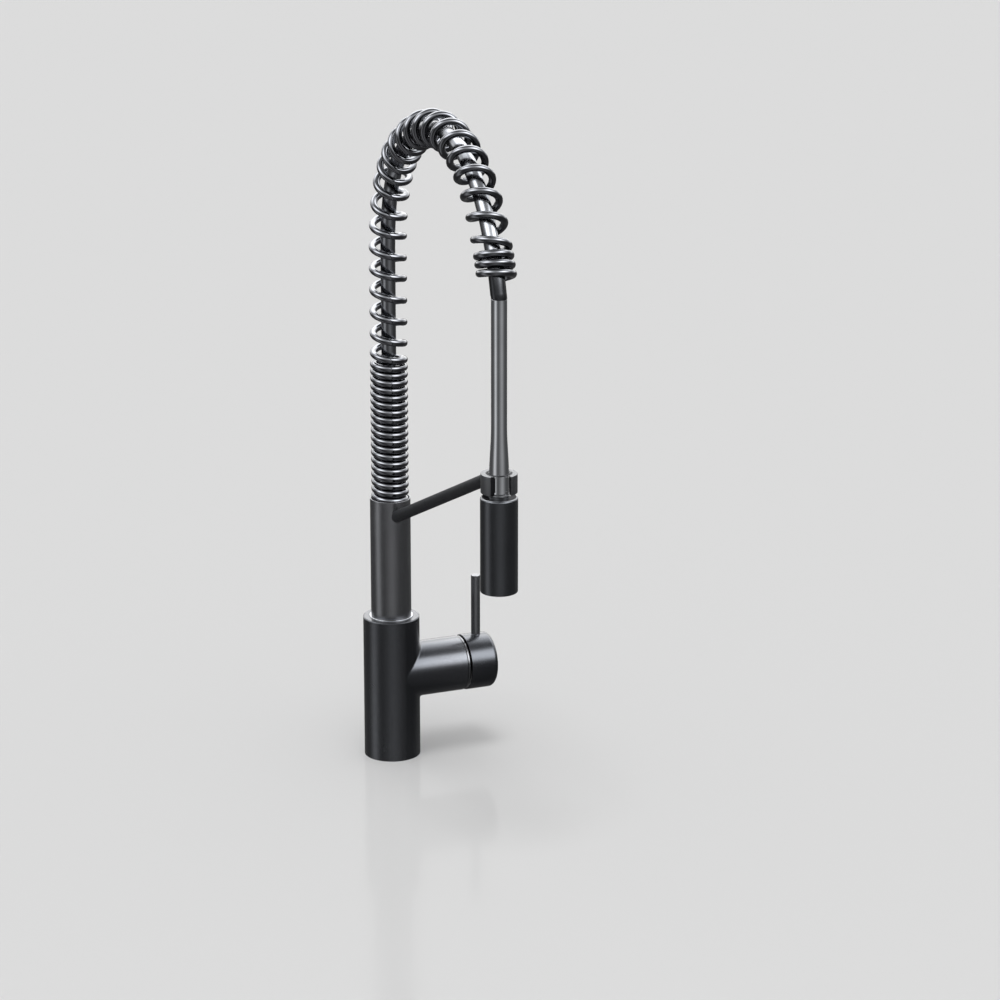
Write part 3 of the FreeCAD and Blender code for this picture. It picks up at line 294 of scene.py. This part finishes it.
# painted shade: the walls of the clip's mouth and its liner get a flat dark colour in place of
# shade
paint_shade("matt_black_metal", mouth_shade_mask, shade=(0.006, 0.006, 0.007))
paint_shade("plastic_grey", mouth_shade_mask, shade=(0.005, 0.005, 0.006))

slot_of = {part["node"]: part["material_slot"] for part in frame["record"]["subparts"]}
for node_name, piece in NODES.items():
    piece.data.materials.clear()
    piece.data.materials.append(MATERIALS[slot_of[node_name]])

# two slivers without area in the stem's mesh close up when its points are welded
weld = NODES["cartridge_stem"].modifiers.new("weld", "WELD")
weld.merge_threshold = 1e-6


# ---------------------------------------------------------- mesh tools
def add_object(name, data):
    ob = bpy.data.objects.new(name, data)
    SCENE.collection.objects.link(ob)
    return ob


def make_mesh(name, verts, faces, material, smooth_angle):
    """Object from points in mm; edges sharper than smooth_angle degrees stay sharp."""
    mesh = bpy.data.meshes.new(name)
    mesh.from_pydata([Vector(v) * MM for v in verts], [], faces)
    mesh.validate()
    bm = bmesh.new()
    bm.from_mesh(mesh)
    bmesh.ops.remove_doubles(bm, verts=bm.verts, dist=1e-7)
    bmesh.ops.recalc_face_normals(bm, faces=bm.faces)
    bm.to_mesh(mesh)
    bm.free()
    ob = add_object(name, mesh)
    mesh.materials.append(MATERIALS[material])
    for face in mesh.polygons:
        face.use_smooth = True
    mesh.set_sharp_from_angle(angle=math.radians(smooth_angle))
    return ob


def register(piece, part=None, node=None):
    if node:
        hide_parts(node)
    if part:
        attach(piece, part)


def rounded(corners, steps=4):
    """Closed polygon from (x, y, corner radius), its corners turned in steps."""
    out = []
    count = len(corners)
    for i, corner in enumerate(corners):
        before, here, after = (Vector(corners[(i + k) % count][:2]) for k in (-1, 0, 1))
        radius = corner[2]
        if radius <= 0.0:
            out.append((here.x, here.y))
            continue
        back, ahead = before - here, after - here
        back_room, ahead_room = back.length * 0.49, ahead.length * 0.49
        back.normalize()
        ahead.normalize()
        half = back.angle(ahead) / 2.0
        cut = min(radius / math.tan(half), back_room, ahead_room)
        radius = cut * math.tan(half)
        centre = here + (back + ahead).normalized() * (radius / math.sin(half))
        start, end = here + back * cut - centre, here + ahead * cut - centre
        start_angle = math.atan2(start.y, start.x)
        end_angle = math.atan2(end.y, end.x)
        turn = (end_angle - start_angle + math.pi) % (2 * math.pi) - math.pi
        for k in range(steps + 1):
            a = start_angle + turn * k / steps
            out.append((centre.x + radius * math.cos(a), centre.y + radius * math.sin(a)))
    return out


def circle(centre, across, up, radius, count):
    angles = [2 * math.pi * k / count for k in range(count)]
    return [centre + (across * math.cos(a) + up * math.sin(a)) * radius for a in angles]


def strip(first, second):
    """Quads between two closed rows of point numbers."""
    count = len(first)
    return [(first[j], first[(j + 1) % count], second[(j + 1) % count], second[j])
            for j in range(count)]


def lathe(name, profile, material, segments, origin=(0, 0, 0), turn=Matrix.Identity(3)):
    """Turns a closed profile of (r, h) about local Z; points with r 0 fall on the axis."""
    origin = Vector(origin)
    verts, rows = [], []
    for r, h in profile:
        first = len(verts)
        if abs(r) < 1e-7:
            verts.append(origin + turn @ Vector((0, 0, h)))
            rows.append([first] * segments)
        else:
            for k in range(segments):
                a = 2 * math.pi * k / segments
                verts.append(origin + turn @ Vector((r * math.cos(a), r * math.sin(a), h)))
            rows.append(range(first, first + segments))
    faces = []
    for i, row in enumerate(rows):
        for quad in strip(row, rows[(i + 1) % len(rows)]):
            face = list(dict.fromkeys(quad))
            if len(face) >= 3:
                faces.append(face)
    return make_mesh(name, verts, faces, material, smooth_angle=35.0)


def sweep(name, rings, material, smooth_angle=40.0):
    """Skin through rings of equal count, with both ends closed."""
    count = len(rings[0])
    rows = [range(i * count, (i + 1) * count) for i in range(len(rings))]
    faces = []
    for row, following in zip(rows, rows[1:]):
        faces += strip(row, following)
    faces.append(tuple(rows[0])[::-1])
    faces.append(tuple(rows[-1]))
    verts = [point for ring in rings for point in ring]
    return make_mesh(name, verts, faces, material, smooth_angle)


def smooth_step(f):
    return f * f * (3 - 2 * f)


def curve_through(stations, slopes, x):
    """Cubic curve through (x, y) stations with the given slopes, level outside them."""
    if x <= stations[0][0]:
        return stations[0][1]
    for i in range(len(stations) - 1):
        (x0, y0), (x1, y1) = stations[i], stations[i + 1]
        if x <= x1:
            width = x1 - x0
            f = (x - x0) / width
            m0, m1 = slopes[i] * width, slopes[i + 1] * width
            return ((2 * f**3 - 3 * f**2 + 1) * y0 + (f**3 - 2 * f**2 + f) * m0
                    + (-2 * f**3 + 3 * f**2) * y1 + (f**3 - f**2) * m1)
    return stations[-1][1]


def chord_slope(a, b):
    return (b[1] - a[1]) / (b[0] - a[0])


# ---------------------------------------------------------- neck line
# (length along the neck, lean from upright in degrees)
LEANS = [(0.0, 0.0), (28.9, 4.6), (57.9, 16.8), (86.8, 32.2), (115.7, 49.6), (150.4, 64.2),
         (185.2, 78.6), (219.9, 94.5), (254.6, 112.1), (289.3, 130.3), (324.0, 146.6),
         (358.7, 156.4), (380.0, 164.0), (393.5, 167.0)]
LEAN_SLOPES = ([0.0] + [chord_slope(a, b) for a, b in zip(LEANS, LEANS[2:])]
               + [chord_slope(*LEANS[-2:])])
LINE_LENGTH = LEANS[-1][0]
LINE_STEP = 0.25


def neck_line():
    """(distance out along -Y, height, lean) every LINE_STEP, drawn onto the wand's top."""
    count = round(LINE_LENGTH / LINE_STEP)
    out, z = 0.0, NECK_BASE_Z
    points = [(out, z, 0.0)]
    for i in range(count):
        lean = math.radians(curve_through(LEANS, LEAN_SLOPES, (i + 0.5) * LINE_STEP))
        out += math.sin(lean) * LINE_STEP
        z += math.cos(lean) * LINE_STEP
        end_lean = curve_through(LEANS, LEAN_SLOPES, (i + 1) * LINE_STEP)
        points.append((out, z, math.radians(end_lean)))
    miss_out, miss_z = REACH - out, WAND_TOP - z
    line = []
    for i, (out, z, lean) in enumerate(points):
        share = smooth_step(i / count)
        line.append((out + miss_out * share, z + miss_z * share, lean))
    return line


LINE = neck_line()


def on_neck(length):
    """Point of the neck line and the normal towards the inside of the arch.

    Below length 0 the line runs straight down the column axis.
    """
    if length <= 0.0:
        out, z, lean = 0.0, NECK_BASE_Z + length, 0.0
    else:
        i = int(length / LINE_STEP)
        f = length / LINE_STEP - i
        out, z, lean = (a + (b - a) * f for a, b in zip(LINE[i], LINE[i + 1]))
    return Vector((0, -out, z)), Vector((0, -math.cos(lean), -math.sin(lean)))


def neck_ring(length, radius, count):
    point, inward = on_neck(length)
    return circle(point, inward, X_AXIS, radius, count)


# ---------------------------------------------------------- neck spring
CLOSE_PITCH = 6.652
FIRST_TURN_Z = 244.52
SPRING_BOTTOM = 232.8
SPRING_MEAN_R, WIRE_R = 13.4, 3.1
START_ANGLE = math.radians(67.2)
# heights of the whole turns: 19 close ones, then wider ones
TURN_HEIGHTS = ([FIRST_TURN_Z + CLOSE_PITCH * i for i in range(19)]
                + [379.1, 397.8, 417.1, 436.6, 454.7, 474.4, 492.7])
# (length along the neck, turns counted from the first whole one)
TURNS = [(SPRING_BOTTOM - NECK_BASE_Z, (SPRING_BOTTOM - FIRST_TURN_Z) / CLOSE_PITCH)]
TURNS += [(z - NECK_BASE_Z, float(i)) for i, z in enumerate(TURN_HEIGHTS)]
TURNS += [(64.0, 26.0), (83.0, 26.995), (100.0, 27.99), (117.5, 28.98), (167.0, 31.45),
          (216.0, 33.92), (265.0, 36.39), (283.5, 37.39), (303.5, 38.39), (322.8, 39.38),
          (341.5, 40.36), (352.0, 40.90), (359.3, 41.88), (366.6, 42.88), (374.0, 43.88),
          (375.8, 44.12)]


def turn_slopes():
    """Harmonic means of the neighbouring slopes, so the count never runs backwards."""
    chords = [chord_slope(a, b) for a, b in zip(TURNS, TURNS[1:])]
    means = [2 * a * b / (a + b) for a, b in zip(chords, chords[1:])]
    return [chords[0]] + means + [chords[-1]]


def coil_path(steps_per_turn):
    """(wire centre, outward direction) at equal parts of a turn."""
    samples = 12000
    start, end = TURNS[0][0], TURNS[-1][0]
    slopes = turn_slopes()
    lengths = [start + (end - start) * i / samples for i in range(samples + 1)]
    turns = [curve_through(TURNS, slopes, length) for length in lengths]
    total = turns[-1] - turns[0]
    count = int(total * steps_per_turn)
    path, j = [], 0
    for i in range(count + 1):
        wanted = turns[0] + total * i / count
        while j < samples - 1 and turns[j + 1] < wanted:
            j += 1
        f = (wanted - turns[j]) / (turns[j + 1] - turns[j])
        point, inward = on_neck(lengths[j] + (lengths[j + 1] - lengths[j]) * f)
        angle = START_ANGLE - 2 * math.pi * wanted
        outward = inward * math.cos(angle) + X_AXIS * math.sin(angle)
        path.append((point + outward * SPRING_MEAN_R, outward))
    return path


def wire_end(centre, neighbour, ring):
    """Three shrinking rings that round off the wire beyond its last ring."""
    bulge = 0.9
    ahead = (centre - neighbour).normalized()
    angles = [math.radians(27 * k) for k in (1, 2, 3)]
    return [[centre + (v - centre) * math.cos(a) + ahead * bulge * math.sin(a) for v in ring]
            for a in angles]


def build_neck_spring():
    path = coil_path(steps_per_turn=44)
    wire_segments = 16
    rings = []
    for i, (centre, outward) in enumerate(path):
        before = path[max(0, i - 1)][0]
        after = path[min(len(path) - 1, i + 1)][0]
        along = (after - before).normalized()
        across = (outward - along * outward.dot(along)).normalized()
        rings.append(circle(centre, across, along.cross(across), WIRE_R, wire_segments))
    low_end = wire_end(path[0][0], path[1][0], rings[0])
    high_end = wire_end(path[-1][0], path[-2][0], rings[-1])
    spring = sweep("neck_spring_coil", low_end[::-1] + rings + high_end, "spring_chrome",
                   smooth_angle=60)
    register(spring, node="neck_spring")
    return spring


# ---------------------------------------------------------- hose and sleeve
SLEEVE_START = LINE_LENGTH - 28.0


def build_hose():
    radius, bottom_z = 6.45, 166.1
    bottom = bottom_z - NECK_BASE_Z
    lengths = [bottom * (1 - i / 60.0) for i in range(60)]
    lengths += [SLEEVE_START * i / 200.0 for i in range(201)]
    hose = sweep("supply_hose_jacket", [neck_ring(q, radius, 48) for q in lengths],
                 "dark_hose")
    register(hose, node="supply_hose")
    return hose


def build_hose_sleeve():
    body_r, body_start, body_step = 6.66, 2.5, 24.1 / 24.0
    end_r, end_lift, end_height = 6.55, 0.04, 0.5
    # (length from the sleeve's start, radius)
    profile = [(0.0, 5.6), (0.25, 6.25), (0.7, 6.52), (1.3, 6.62)]
    profile += [(body_start + body_step * i, body_r) for i in range(21)]
    rings = [neck_ring(SLEEVE_START + length, radius, 64) for length, radius in profile]
    # the last two rings settle onto the level joint with the spray neck
    for lift in (end_lift + end_height, end_lift):
        centre = Vector((0, -REACH, JOINT_Z + lift))
        rings.append(circle(centre, Y_AXIS, X_AXIS, end_r, 64))
    sleeve = sweep("hose_end_sleeve_skin", rings, "ferrule_black")
    register(sleeve, "hose_end", "hose_end_sleeve")


# ---------------------------------------------------------- column
def build_column():
    bore_r, bottom, top = 16.9, 130.8, 239.3
    profile = rounded([(bore_r, bottom, 0.15), (COLUMN_R, bottom, 0.3),
                       (COLUMN_R, top, 0.28), (bore_r, top, 0.18)])
    column = lathe("column_tube_skin", profile, "satin_column", segments=192)
    register(column, "spout", "column_tube")


# ---------------------------------------------------------- spray wand
def build_wand_neck():
    bore_r, bottom = 4.6, 303.0
    flare_top, flare_bottom, flare_width = 368.0, 326.0, 1.58
    # (radius, height)
    profile = [(bore_r, JOINT_Z - 0.1), (6.4, JOINT_Z - 0.1), (WAND_R, JOINT_Z - 0.2)]
    profile += [(WAND_R, z) for z in (471.2, 440, 410, 380, 370)]
    for i in range(41):
        f = i / 40.0
        profile.append((WAND_R + flare_width * smooth_step(f),
                        flare_top - (flare_top - flare_bottom) * f))
    profile += [(8.09, 320.0), (8.1, 312.0), (8.1, bottom), (bore_r, bottom)]
    neck = lathe("wand_neck_skin", profile, "dark_chrome", segments=128, origin=WAND_FOOT)
    register(neck, "wand", "wand_neck")


def build_spray_shell():
    hole_r, outer_r, inner_r = 8.12, 15.5, 13.8
    top, ceiling, bottom = 308.4, 302.4, 227.7
    profile = rounded([(hole_r, top, 0.15), (outer_r, top, 1.6), (outer_r, bottom, 1.2),
                       (inner_r, bottom, 0.35), (inner_r, ceiling, 0.5),
                       (hole_r, ceiling, 0.1)], steps=8)
    shell = lathe("spray_shell_skin", profile, "satin_head", segments=192, origin=WAND_FOOT)
    register(shell, "wand", "spray_shell")


def build_nozzle_tips():
    """Soft hollow tips that stand out of the spray face, in two circles."""
    # (radius, height) of one tip
    profile = [(0.95, 229.02), (0.9, 228.6), (0.72, 228.1), (0.5, 228.0), (0.36, 228.05),
               (0.32, 228.6), (0.32, 229.02)]
    segments = 16
    verts, faces = [], []
    for circle_r, count in ((5.0, 8), (10.6, 16)):
        for foot in circle(WAND_FOOT, X_AXIS, Y_AXIS, circle_r, count):
            rows = []
            for radius, z in profile:
                rows.append(range(len(verts), len(verts) + segments))
                verts += circle(foot + Vector((0, 0, z)), X_AXIS, Y_AXIS, radius, segments)
            for i, row in enumerate(rows):
                faces += strip(row, rows[(i + 1) % len(rows)])
    tips = make_mesh("nozzle_tips", verts, faces, "silicone", smooth_angle=35.0)
    register(tips, "wand")


def build_check_spring():
    """Small spring under the check valve; also gives the height of its lower end."""
    coil_r, wire_r, pitch = 3.4, 0.35, 3.0
    low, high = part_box("check_spring")
    bottom, top = low[2] * 1000 + wire_r, high[2] * 1000 - wire_r
    turns = (top - bottom) / pitch
    count = int(turns * 40)
    rings = []
    for i in range(count + 1):
        f = i / count
        a = 2 * math.pi * turns * f
        outward = Vector((math.cos(a), math.sin(a), 0))
        centre = WAND_FOOT + outward * coil_r + Vector((0, 0, bottom + (top - bottom) * f))
        along = Vector((-math.sin(a) * coil_r, math.cos(a) * coil_r,
                        pitch / (2 * math.pi))).normalized()
        rings.append(circle(centre, outward, along.cross(outward), wire_r, 12))
    spring = sweep("check_spring_coil", rings, "steel", smooth_angle=60)
    register(spring, "wand", "check_spring")
    return spring, bottom


# ---------------------------------------------------------- handle
def build_handle_cap():
    end_x, open_x = 94.0, 68.0
    pivot_x, hollow_r, hollow_mouth_r = 47.0, 31.6, 23.5
    profile = rounded([(0.0, end_x, 0), (CAP_R, end_x, 4.5), (CAP_R, open_x, 0.35),
                       (23.61, open_x, 0.2)], steps=14)
    # spherical hollow about the pivot
    for i in range(25):
        a = math.asin(hollow_mouth_r / hollow_r) * (1 - i / 24.0)
        profile.append((hollow_r * math.sin(a), pivot_x + hollow_r * math.cos(a)))
    cap = lathe("handle_cap_skin", profile, "satin_gunmetal", segments=192,
                origin=VALVE_AXIS, turn=Z_TO_X)
    register(cap, "handle", "handle_cap")


def build_lever():
    bottom, top = 92.0, 157.3
    profile = rounded([(0.0, top, 0), (LEVER_R, top, 0.55), (LEVER_R, bottom, 0.2),
                       (0.0, bottom, 0)], steps=5)
    lever = lathe("lever_rod_skin", profile, "satin_column", segments=96,
                  origin=(LEVER_X, 0, 0))
    register(lever, "handle", "lever_rod")


def cap_saddle(radius, lift):
    """Ring about the lever's axis that follows the top of the cap."""
    ring = []
    for k in range(64):
        a = 2 * math.pi * k / 64
        x, y = radius * math.cos(a), radius * math.sin(a)
        ring.append(Vector((LEVER_X + x, y, VALVE_Z + math.sqrt(CAP_R**2 - y * y) + lift)))
    return ring


def build_lever_collar():
    """Ring-shaped fillet where the lever stands on the round cap."""
    fillet, sink = 0.75, 0.06
    rings = [cap_saddle(4.9, -0.6)]
    for i in range(7):
        a = i / 6.0 * math.pi / 2
        rings.append(cap_saddle(LEVER_R + fillet * (1 - math.sin(a)),
                                fillet * (1 - math.cos(a)) - sink))
    collar = sweep("lever_foot_collar", rings, "satin_gunmetal", smooth_angle=80)
    register(collar, "handle")


def build_trim_ring():
    # (radius, x, corner radius)
    profile = rounded([(19.2, 58.1, 0.2), (20.35, 58.1, 0.2), (20.35, 64.6, 0.1),
                       (24.3, 64.6, 0.3), (24.3, 66.4, 0.3), (22.6, 66.4, 0.15),
                       (20.0, 69.0, 0.5), (19.2, 69.0, 0.4)])
    trim = lathe("valve_trim_ring_skin", profile, "trim_black", segments=160,
                 origin=VALVE_AXIS, turn=Z_TO_X)
    register(trim, "base", "valve_trim_ring")


def build_washer():
    inner_r, outer_r, bottom, top = 16.6, 19.3, 130.02, 130.6
    profile = rounded([(inner_r, bottom, 0.05), (outer_r, bottom, 0.1),
                       (outer_r, top, 0.25), (inner_r, top, 0.1)])
    washer = lathe("swivel_washer_skin", profile, "bright_washer", segments=160)
    register(washer, "base", "swivel_thrust_washer")


# ---------------------------------------------------------- holder arm
ARM_R = 5.2
ARM_ROOT_Z = 218.8            # where the arm's axis crosses the column's
ARM_RISE = math.radians(23.8)
ARM_ALONG = Vector((0, -math.cos(ARM_RISE), math.sin(ARM_RISE)))
ARM_UP = Vector((0, math.sin(ARM_RISE), math.cos(ARM_RISE)))


def arm_section(cylinder_y, cylinder_r, side):
    """Outline of the arm on an upright cylinder: side 1 is the far wall, -1 the near one."""
    outline = []
    for point in circle(Vector((0, 0, ARM_ROOT_Z)), X_AXIS, ARM_UP, ARM_R, 96):
        # x^2 + (y - cylinder_y)^2 = cylinder_r^2 along the arm
        off = point.y - cylinder_y
        a, b = ARM_ALONG.y**2, 2 * off * ARM_ALONG.y
        c = point.x**2 + off * off - cylinder_r**2
        root = math.sqrt(b * b - 4 * a * c)
        outline.append(point + ARM_ALONG * ((-b + side * root) / (2 * a)))
    return outline


def build_holder_arm():
    start = arm_section(0.0, COLUMN_R + 0.03, side=1)
    end = arm_section(-REACH, 14.2, side=-1)
    rings = [[a + (b - a) * (i / 24.0) for a, b in zip(start, end)] for i in range(25)]
    arm = sweep("holder_arm_rod", rings, "matte_arm", smooth_angle=50)
    register(arm, "spout", "holder_arm")


# ---------------------------------------------------------- clip and liner
# The open rings are drawn in (u, w): u to the camera's right, w towards the camera,
# where the mouth is. Each wall of the mouth lies on a line through two points.
MOUTH_LEFT = ((-2.5, 9.0), (-10.2, 17.0))
MOUTH_RIGHT = ((8.0, 5.5), (11.2, 17.0))


def wall_angle(wall, shift, radius):
    """Angle from +w towards +u where a mouth wall, shifted along u, meets a circle."""
    (u, w), (end_u, end_w) = wall
    du, dw = end_u - u, end_w - w
    u += shift
    a = du**2 + dw**2
    b = 2 * (u * du + w * dw)
    c = u**2 + w**2 - radius**2
    t = (-b + math.sqrt(b * b - 4 * a * c)) / (2 * a)
    return math.atan2(u + du * t, w + dw * t)


def mouth_arc(radius, spread, corner):
    """Arc from the right wall round the back to the left wall, as (u, w, corner radius)."""
    steps = 120
    start = wall_angle(MOUTH_RIGHT, spread, radius)
    end = wall_angle(MOUTH_LEFT, -spread, radius) + 2 * math.pi
    angles = [start + (end - start) * i / steps for i in range(steps + 1)]
    return [(radius * math.sin(a), radius * math.cos(a), corner if i in (0, steps) else 0.0)
            for i, a in enumerate(angles)]


def inset(outline, depth):
    """Moves each point of the clockwise outline into the ring's wall."""
    out = []
    for i, (u, w) in enumerate(outline):
        before, after = Vector(outline[i - 1]), Vector(outline[(i + 1) % len(outline)])
        along = (after - before).normalized()
        out.append((u + along.y * depth, w - along.x * depth))
    return out


def open_ring(name, outer_r, inner_r, bottom, top, spread, material, edge):
    """Ring with a mouth widened by spread on each side; its rims are rounded by edge."""
    outline = rounded(mouth_arc(outer_r, spread, 0.35)
                      + mouth_arc(inner_r, spread, 0.35)[::-1])
    angles = [math.pi / 2 * k / 4 for k in range(5)]
    rim = [(edge * (1 - math.sin(a)), edge * (1 - math.cos(a))) for a in angles]
    levels = [(depth, bottom + rise) for depth, rise in rim]
    levels += [(depth, top - rise) for depth, rise in rim[::-1]]
    rings = [[WAND_FOOT + VIEW_RIGHT * u + VIEW_BACK * w + Vector((0, 0, z))
              for u, w in inset(outline, depth)] for depth, z in levels]
    return sweep(name, rings, material)


def build_clip():
    inner_r, bottom, top = 10.6, 312.4, 328.5
    liner_gap, liner_margin = 0.05, 2.0
    clip = open_ring("holder_clip_ring", outer_r=15.1, inner_r=inner_r, bottom=bottom,
                     top=top, spread=0.0, material="matt_black_metal", edge=0.4)
    register(clip, "spout", "holder_clip")
    liner = open_ring("clip_liner_skin", outer_r=inner_r - liner_gap, inner_r=9.2,
                      bottom=bottom + liner_margin, top=top - liner_margin, spread=0.6,
                      material="plastic_grey", edge=0.2)
    register(liner, "spout", "clip_liner")
    # the clip doesn't darken the shine of the neck it holds
    clip.visible_glossy = False
    liner.visible_glossy = False


# ---------------------------------------------------------- build the pieces
neck_spring = build_neck_spring()
supply_hose = build_hose()
build_hose_sleeve()
build_column()
build_wand_neck()
build_spray_shell()
build_nozzle_tips()
check_spring, check_spring_bottom = build_check_spring()
build_handle_cap()
build_lever()
build_lever_collar()
build_trim_ring()
build_washer()
build_holder_arm()
build_clip()

# neck spring and hose bend between the column and the hose end; here their placement is baked
# into their points
for piece in (neck_spring, supply_hose):
    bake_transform(piece)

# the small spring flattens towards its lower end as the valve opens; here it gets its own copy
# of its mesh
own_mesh(check_spring)


# ---------------------------------------------------------- floor, light, world
def build_floor():
    """White floor with a faint sheen."""
    bm = bmesh.new()
    bmesh.ops.create_grid(bm, x_segments=8, y_segments=8, size=14.0)
    mesh = bpy.data.meshes.new("studio_floor")
    bm.to_mesh(mesh)
    bm.free()
    floor = add_object("studio_floor", mesh)
    material = bpy.data.materials.new("floor_white")
    tree = empty_tree(material)
    output = add_node(tree, "OutputMaterial")
    matt = add_node(tree, "BsdfDiffuse", {"Color": (0.705, 0.705, 0.705, 1)})
    sheen = add_node(tree, "BsdfGlossy", {"Color": (1, 1, 1, 1), "Roughness": 0.12})
    mix = add_node(tree, "MixShader", {"Fac": 0.018, 1: matt.outputs[0],
                                       2: sheen.outputs[0]})
    tree.links.new(mix.outputs[0], output.inputs["Surface"])
    mesh.materials.append(material)
    floor.visible_glossy = False


def build_sun():
    """Soft sun from above, a little from the camera's side."""
    light = bpy.data.lights.new("soft_key", "SUN")
    light.energy = 0.88
    light.angle = math.radians(22.0)
    sun = add_object("soft_key", light)
    rightward, away, down = 0.12, 0.52, 2.6
    ray = VIEW_RIGHT * rightward - VIEW_BACK * away - Vector((0, 0, down))
    sun.rotation_euler = ray.to_track_quat("-Z", "Y").to_euler()
    sun.visible_glossy = False


def studio_brightness(tree):
    """Soft boxes by azimuth (0 towards the camera, + to its right) and elevation."""
    def add(a, b):
        return math_node(tree, "ADD", a, b)

    def times(a, b):
        return math_node(tree, "MULTIPLY", a, b)

    def glow(azimuth, centre, width, strength):
        d = math_node(tree, "DIVIDE", math_node(tree, "SUBTRACT", azimuth, centre), width)
        return times(math_node(tree, "EXPONENT", times(times(d, d), -1.0)), strength)

    def step_up(angle, edge, soft):
        return map_range(tree, angle, edge - soft, edge + soft,
                         interpolation_type="SMOOTHSTEP")

    def step_down(angle, edge, soft):
        return math_node(tree, "SUBTRACT", 1.0, step_up(angle, edge, soft))

    coords = add_node(tree, "TexCoord")
    x, y, z = add_node(tree, "SeparateXYZ", {0: coords.outputs["Generated"]}).outputs
    right = add(times(x, VIEW_COS), times(y, -VIEW_SIN))
    back = add(times(x, -VIEW_SIN), times(y, -VIEW_COS))
    azimuth = times(math_node(tree, "ARCTAN2", right, back), 180.0 / math.pi)
    elevation = times(math_node(tree, "ARCSINE", z), 180.0 / math.pi)
    below = step_down(elevation, edge=1.0, soft=7.0)
    above = step_up(elevation, edge=1.0, soft=7.0)
    aside = math_node(tree, "ABSOLUTE", azimuth)

    # below the horizon: a dark room with three upright strips, the last one faint
    room = 0.14
    strips = add(glow(azimuth, centre=-75.0, width=16.0, strength=1.08),
                 glow(azimuth, centre=8.0, width=30.0, strength=0.46))
    low = add(strips, add(glow(azimuth, centre=128.0, width=14.0, strength=0.05), room))
    low = times(low, below)

    # above it, on the camera's side: a soft box, brighter towards both its sides
    box_base = 1.6
    front = step_down(aside, edge=105.0, soft=22.0)
    band = times(step_up(elevation, edge=18.0, soft=10.0),
                 step_down(elevation, edge=52.0, soft=8.0))
    band = times(band, front)
    sides = add(glow(azimuth, centre=-62.0, width=30.0, strength=8.0),
                glow(azimuth, centre=52.0, width=30.0, strength=10.6))
    front_box = times(band, add(sides, box_base))

    # opposite the camera: a pale wall, brighter in its upper part
    wall_base, wall_upper = 2.6, 5.6
    wall = times(step_up(aside, edge=118.0, soft=22.0),
                 step_down(elevation, edge=64.0, soft=14.0))
    upper = times(step_up(elevation, edge=32.0, soft=8.0), wall_upper)
    back_wall = times(wall, add(upper, wall_base))

    # overhead: dim
    sky_base, sky_top = 0.45, 0.4
    high = add(front_box, back_wall)
    overhead = times(step_up(elevation, edge=58.0, soft=10.0), sky_top)
    high = times(add(high, add(overhead, sky_base)), above)
    return add(low, high)


def build_world():
    """Even white for the floor, and a studio of soft boxes for what shines."""
    world = bpy.data.worlds.new("studio")
    SCENE.world = world
    tree = empty_tree(world)
    output = add_node(tree, "OutputWorld")
    even = add_node(tree, "Background", {"Color": (1, 1, 1, 1), "Strength": 0.68})
    boxes = add_node(tree, "Background", {"Strength": 1.0})
    mix = add_node(tree, "MixShader")
    rays = add_node(tree, "LightPath")
    set_inputs(tree, mix, {"Fac": rays.outputs["Is Glossy Ray"], 1: even.outputs[0],
                           2: boxes.outputs[0]})
    tree.links.new(mix.outputs[0], output.inputs["Surface"])
    total = studio_brightness(tree)
    grey = add_node(tree, "CombineColor", {0: total, 1: total, 2: total})
    tree.links.new(grey.outputs[0], boxes.inputs["Color"])


def build_camera():
    look_down = 16.86    # degrees below level
    data = bpy.data.cameras.new("camera")
    camera = add_object("camera", data)
    camera.location = (-1.0416, -2.7233, 1.1198)
    camera.rotation_euler = (math.radians(90.0 - look_down), 0.0,
                             math.radians(-VIEW_AZIMUTH))
    data.sensor_width = 36.0
    data.lens = 124.56
    data.clip_end = 100.0
    SCENE.camera = camera


build_floor()
build_sun()
build_world()
build_camera()
SCENE.view_settings.view_transform = "Standard"
